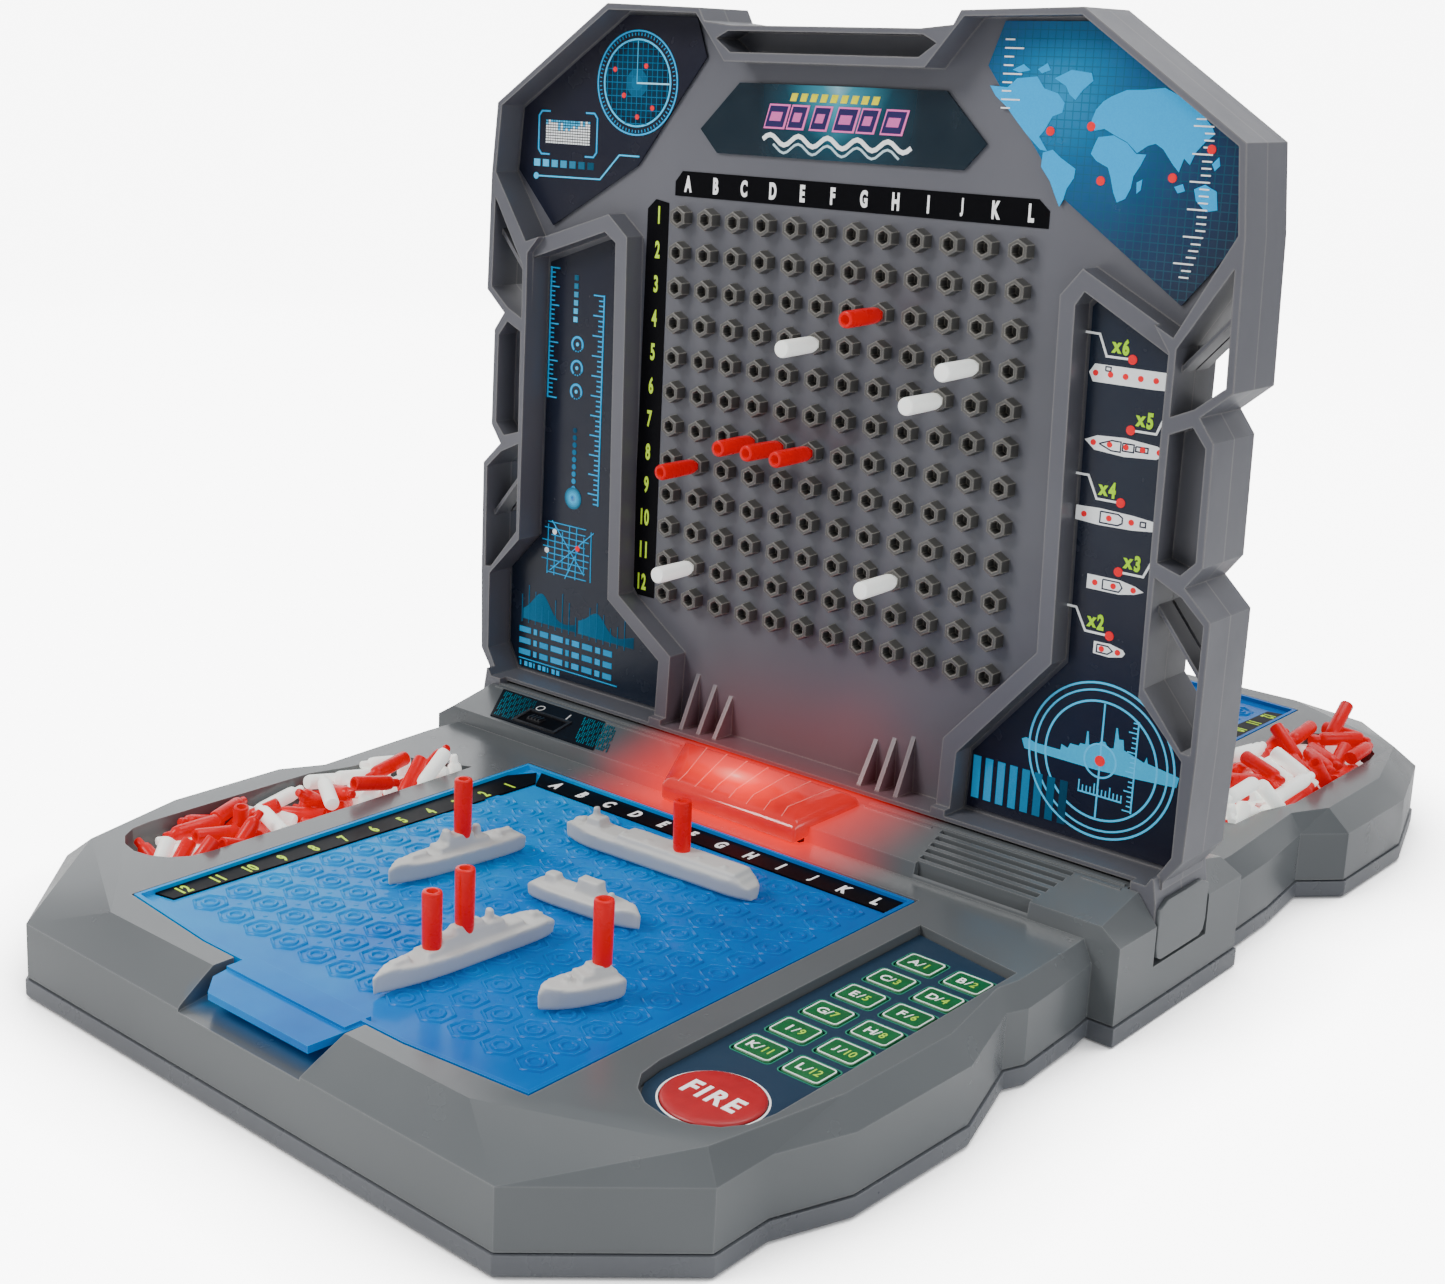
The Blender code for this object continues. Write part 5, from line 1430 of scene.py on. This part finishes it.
def make_ship(build, cx, cy, heading, pegs):
    kind = build.__name__
    bm = build()
    cos, sin = math.cos(math.radians(heading)), math.sin(math.radians(heading))
    far = max(abs(v.co.x) for v in bm.verts)
    for v in bm.verts:
        # the ends droop, and the whole is widened and raised before it is placed
        tip = max(0.0, (abs(v.co.x) / far - 0.80) / 0.20)
        v.co.z *= 1 - (0.42 * tip * tip if 0.05 < v.co.z < 0.9 else 0.0)
        x, y = v.co.x, v.co.y * 1.32
        v.co.z = v.co.z * 1.15 if v.co.z > 0 else v.co.z
        v.co.x, v.co.y = cx + x * cos - y * sin, cy + x * sin + y * cos
        v.co.z += 0.0 if v.co.z < 0.05 else SHIP_Z
    ob = make("ship_%s_shape" % kind, bm, "ship_plastic")
    melt = ob.modifiers.new("melt", "REMESH")
    melt.mode, melt.voxel_size = "VOXEL", 0.00048
    soft = ob.modifiers.new("soft", "SMOOTH")
    soft.factor, soft.iterations = 0.5, 6
    apply_modifiers(ob)
    # the remesh may drop the material
    if not ob.data.materials:
        ob.data.materials.append(MAT["ship_plastic"])
    ob.data.shade_smooth()
    attach(ob, "boat_" + kind, "ship_" + kind)
    for along, height, ending in pegs:
        node = "ship_peg_" + kind + ending
        rnd = random.Random(node)
        direction = (rnd.uniform(-.02, .02), rnd.uniform(-.02, .02), 1)
        make_peg(node, BOAT_PEG, "red", (cx + along * cos, cy + along * sin, SHIP_Z + height),
                 direction, "boat_" + kind)


for ship in FLEET:
    make_ship(*ship)

# ================================================================== loose pegs in the wells
# outline of the front player's well, on the -X side
WELL = ([(-9.9, -6.7), (-7.62, -5.7), (-7.62, -14.9)]
        + arc(-8.98, -15.0, 1.38, 0, -180, 8)[1:-1]
        + [(-10.36, -14.9), (-10.36, -9.5), (-9.98, -8.2)])
COUNT = (98, 130)   # pegs dropped in the front and rear wells
FRAMES = 170
# peg hull for the fall: radius, height
FALL_PEG = [(0.07, 0.0), (0.115, 0.04), (0.125, 0.28), (0.205, 0.36), (0.225, 0.55),
            (0.225, 1.66), (0.18, 1.73)]
PEG_MIDDLE = 0.86


def solid_box(name, size, location, turn=0.0):
    mesh = bpy.data.meshes.new(name)
    bm = bmesh.new()
    bmesh.ops.create_cube(bm, size=1.0)
    bmesh.ops.scale(bm, vec=size, verts=bm.verts)
    bm.to_mesh(mesh)
    bm.free()
    ob = bpy.data.objects.new(name, mesh)
    ob.location = location
    ob.rotation_euler = (0, 0, turn)
    return ob


def well_boxes(points):
    """Walls outside the outline, and a floor."""
    boxes = []
    centre = Vector((sum(p[0] for p in points) / len(points),
                     sum(p[1] for p in points) / len(points)))
    for start, end in zip(points, points[1:] + points[:1]):
        start, end = Vector(start), Vector(end)
        along = end - start
        out = Vector((along.y, -along.x)).normalized()
        middle = (start + end) / 2
        if (middle + out * 0.1 - centre).length < (middle - centre).length:
            out = -out
        at = middle + out * 0.4
        boxes.append(solid_box("wall", (along.length + 0.8, 0.8, 16), (at.x, at.y, 6.0),
                               math.atan2(along.y, along.x)))
    return boxes + [solid_box("floor", (8, 16, 1), (centre.x, centre.y, -2.1))]


def settle():
    """Drops the pegs into both wells and returns their resting matrices, in modules."""
    scene = bpy.context.scene
    bpy.ops.rigidbody.world_add()
    world = scene.rigidbody_world
    world.collection = bpy.data.collections.new("falling")
    world.substeps_per_frame, world.solver_iterations = 12, 20
    world.point_cache.frame_start, world.point_cache.frame_end = 1, FRAMES
    still, moving = [], []

    def add(ob, group):
        scene.collection.objects.link(ob)
        world.collection.objects.link(ob)
        group.append(ob)

    for side, s in enumerate((-1, 1)):
        for ob in well_boxes([(-s * x, -s * y) for x, y in WELL]):
            add(ob, still)
        shape = bpy.data.meshes.new("peg_hull")
        bm = loft([at_z(circle(0, 0, r, 8), h - PEG_MIDDLE) for r, h in FALL_PEG])
        bm.to_mesh(shape)
        bm.free()
        rnd = random.Random(21 + side)
        for k in range(COUNT[side]):
            ob = bpy.data.objects.new("falling", shape)
            row, column = divmod(k, 8)
            ob.location = (s * (9.0 + rnd.uniform(-.42, .42)),
                           s * (7.6 + column * 1.02 + rnd.uniform(-.2, .2)),
                           0.2 + row * 0.95 + rnd.uniform(0, .3))
            ob.rotation_euler = (math.pi / 2 + rnd.uniform(-.5, .5), rnd.uniform(-.3, .3),
                                 rnd.uniform(-.9, .9) + math.pi * rnd.randint(0, 1))
            add(ob, moving)
    bpy.context.view_layer.update()
    for group, kind, shape in ((still, "PASSIVE", "BOX"), (moving, "ACTIVE", "CONVEX_HULL")):
        for ob in group:
            body = ob.rigid_body
            body.type = kind
            body.collision_shape = shape
            body.use_margin, body.collision_margin = True, 0.008
            body.friction, body.restitution = 0.35, 0.05
            if kind == "ACTIVE":
                body.mass, body.linear_damping, body.angular_damping = 0.1, 0.08, 0.2
    for f in range(1, FRAMES + 1):
        scene.frame_set(f)
    depsgraph = bpy.context.evaluated_depsgraph_get()
    rest = [ob.evaluated_get(depsgraph).matrix_world.copy() for ob in moving]
    bpy.ops.rigidbody.world_remove()
    for ob in still + moving:
        bpy.data.objects.remove(ob, do_unlink=True)
    scene.frame_set(1)
    return [rest[:COUNT[0]], rest[COUNT[0]:]]


LOOSE = {
    "red": [(0, 0.02), (0.10, 0.03), (0.125, 0.07), (0.125, 0.28), (0.20, 0.36), (0.222, 0.5),
            (0.224, 1.67), (0.205, 1.72), (0.14, 1.73), (0.118, 1.69), (0.11, 1.3), (0, 1.27)],
    "white": [(0, 0.02), (0.10, 0.03), (0.125, 0.07), (0.125, 0.28), (0.20, 0.36),
              (0.220, 0.5), (0.222, 1.6), (0.19, 1.69), (0.09, 1.73), (0, 1.735)],
}
# a little smaller than the hulls that fell, about the same middle
SHRINK = Matrix.Diagonal((0.94, 0.94, 0.92, 1))
CENTRED = Matrix.Translation((0, 0, -PEG_MIDDLE))
piles = settle()
for side, (pile, body, end) in enumerate(zip(piles, ("loose_pegs_a", "loose_pegs_b"),
                                             ("front", "rear"))):
    solids = {"red": bmesh.new(), "white": bmesh.new()}
    rnd = random.Random(5 + side)
    s = (-1, 1)[side]
    for matrix in pile:
        x, y, z = matrix.translation
        if not (7.2 < s * x < 10.8 and 5.2 < s * y < 16.8 and -1.7 < z < 1.5):
            continue
        # red grows commoner away from the screen
        along = (s * y - 11.2) / 5.0
        red_share = 0.62 + 0.45 * along if side else 0.50 + 0.18 * along
        colour = "red" if rnd.random() < red_share else "white"
        lathe(LOOSE[colour], 14, matrix @ SHRINK @ CENTRED, solids[colour])
    for colour, bm in solids.items():
        ob = make("loose_%s_%s" % (colour, end[0]), bm, "peg_%s_plastic" % colour)
        attach(smooth(ob, 40), body, "loose_pegs_" + end)


# ================================================================== stage, lights, camera
def floor_material():
    """Bright to the camera, with a painted shadow that darkens it close to what stands on it."""
    g = Graph("studio_floor")
    ray = g.node("LightPath").outputs
    # painted shadow: ambient occlusion dims the floor's glow near the object
    near = g.node("AmbientOcclusion", {"Distance": 0.035}, samples=6).outputs["AO"]
    shade = g.remap(near, 0.45, 1.0, 0.10, 7.5)
    high = g.remap(g.xyz()[2], 0.04, 0.35, 0.0, 0.75)
    g.set(Base_Color=g.tones(g.noise(3, detail=2), (0.90, 0.90, 0.905), (0.93, 0.93, 0.93)),
          Emission_Color=(1, 1, 1), Roughness=0.85,
          Emission_Strength=g.math("ADD", g.math("MULTIPLY", ray["Is Camera Ray"], shade),
                                   g.math("MULTIPLY", ray["Is Glossy Ray"], high)))


def studio_floor():
    """Floor that curves up into a backdrop behind the view; in metres."""
    curve = [math.radians(a) for a in range(10, 91, 10)]
    profile = ([(-3.0, 0.0), (1.6, 0.0)]
               + [(1.6 + 0.8 * math.sin(a), 0.8 - 0.8 * math.cos(a)) for a in curve]
               + [(2.4, 4.0)])
    back = Vector((-0.672, 0.740, 0)).normalized()
    across = Vector((back.y, -back.x, 0))
    bm = bmesh.new()
    left, right = [[bm.verts.new(back * d + across * w + Vector((0, 0, h - 0.0004)))
                    for d, h in profile] for w in (-5.0, 5.0)]
    for k in range(len(profile) - 1):
        bm.faces.new((left[k], right[k], right[k + 1], left[k + 1]))
    bmesh.ops.recalc_face_normals(bm, faces=bm.faces)
    mesh = bpy.data.meshes.new("studio_floor")
    bm.to_mesh(mesh)
    bm.free()
    mesh.shade_smooth()
    floor = bpy.data.objects.new("studio_floor", mesh)
    mesh.materials.append(MAT["studio_floor"])
    bpy.context.scene.collection.objects.link(floor)


def studio_world():
    """Soft light that the camera sees as bright white."""
    world = bpy.data.worlds.new("studio")
    bpy.context.scene.world = world
    world.use_nodes = True
    tree = world.node_tree
    background = tree.nodes["Background"]
    background.inputs["Color"].default_value = (0.97, 0.98, 1.0, 1)
    ray = tree.nodes.new("ShaderNodeLightPath")
    strength = tree.nodes.new("ShaderNodeMapRange")
    strength.inputs["To Min"].default_value = 0.42
    strength.inputs["To Max"].default_value = 8.5
    tree.links.new(ray.outputs["Is Camera Ray"], strength.inputs[0])
    tree.links.new(strength.outputs[0], background.inputs["Strength"])


def add_light(data, name, at, watts, colour):
    data.energy, data.color = watts, colour
    ob = bpy.data.objects.new(name, data)
    ob.location = at
    bpy.context.scene.collection.objects.link(ob)
    return ob


def area(name, at, to, size, watts, colour=(1, 1, 1)):
    data = bpy.data.lights.new(name, "AREA")
    data.size = size
    ob = add_light(data, name, at, watts, colour)
    ob.rotation_euler = (Vector(to) - Vector(at)).to_track_quat("-Z", "Y").to_euler()


floor_material()
studio_floor()
studio_world()
area("key", at=(-0.62, -0.95, 1.05), to=(0, 0, 0.08), size=0.55, watts=17.0,
     colour=(1.0, 0.985, 0.96))
area("fill", at=(1.25, -0.35, 0.7), to=(0, 0, 0.1), size=0.8, watts=6.5,
     colour=(0.95, 0.97, 1.0))
area("back", at=(-1.0, 0.55, 0.55), to=(-0.05, -0.05, 0.0), size=0.9, watts=2.6,
     colour=(0.95, 0.98, 1.0))
area("top", at=(0.1, 0.5, 1.4), to=(0, 0, 0.05), size=1.0, watts=15.0)
for side in (1, -1):
    glow = bpy.data.lights.new("signal", "POINT")
    glow.shadow_soft_size = 0.008
    add_light(glow, "signal_glow", at=(0.0, -0.030 * side, metres_up(1.65)), watts=0.004,
              colour=(1.0, 0.05, 0.03))

view = bpy.data.cameras.new("view")
view.lens, view.sensor_width, view.sensor_fit = 50.006, 36.0, "HORIZONTAL"
view.shift_x, view.shift_y = 0.08825, -0.08097
view.clip_start, view.clip_end = 0.01, 20
camera = bpy.data.objects.new("view", view)
camera.location = (0.31794, -0.44153, 0.22541)
camera.rotation_mode = "QUATERNION"
camera.rotation_quaternion = Quaternion((0.72594, 0.58354, 0.21474, 0.29391))
bpy.context.scene.collection.objects.link(camera)
bpy.context.scene.camera = camera
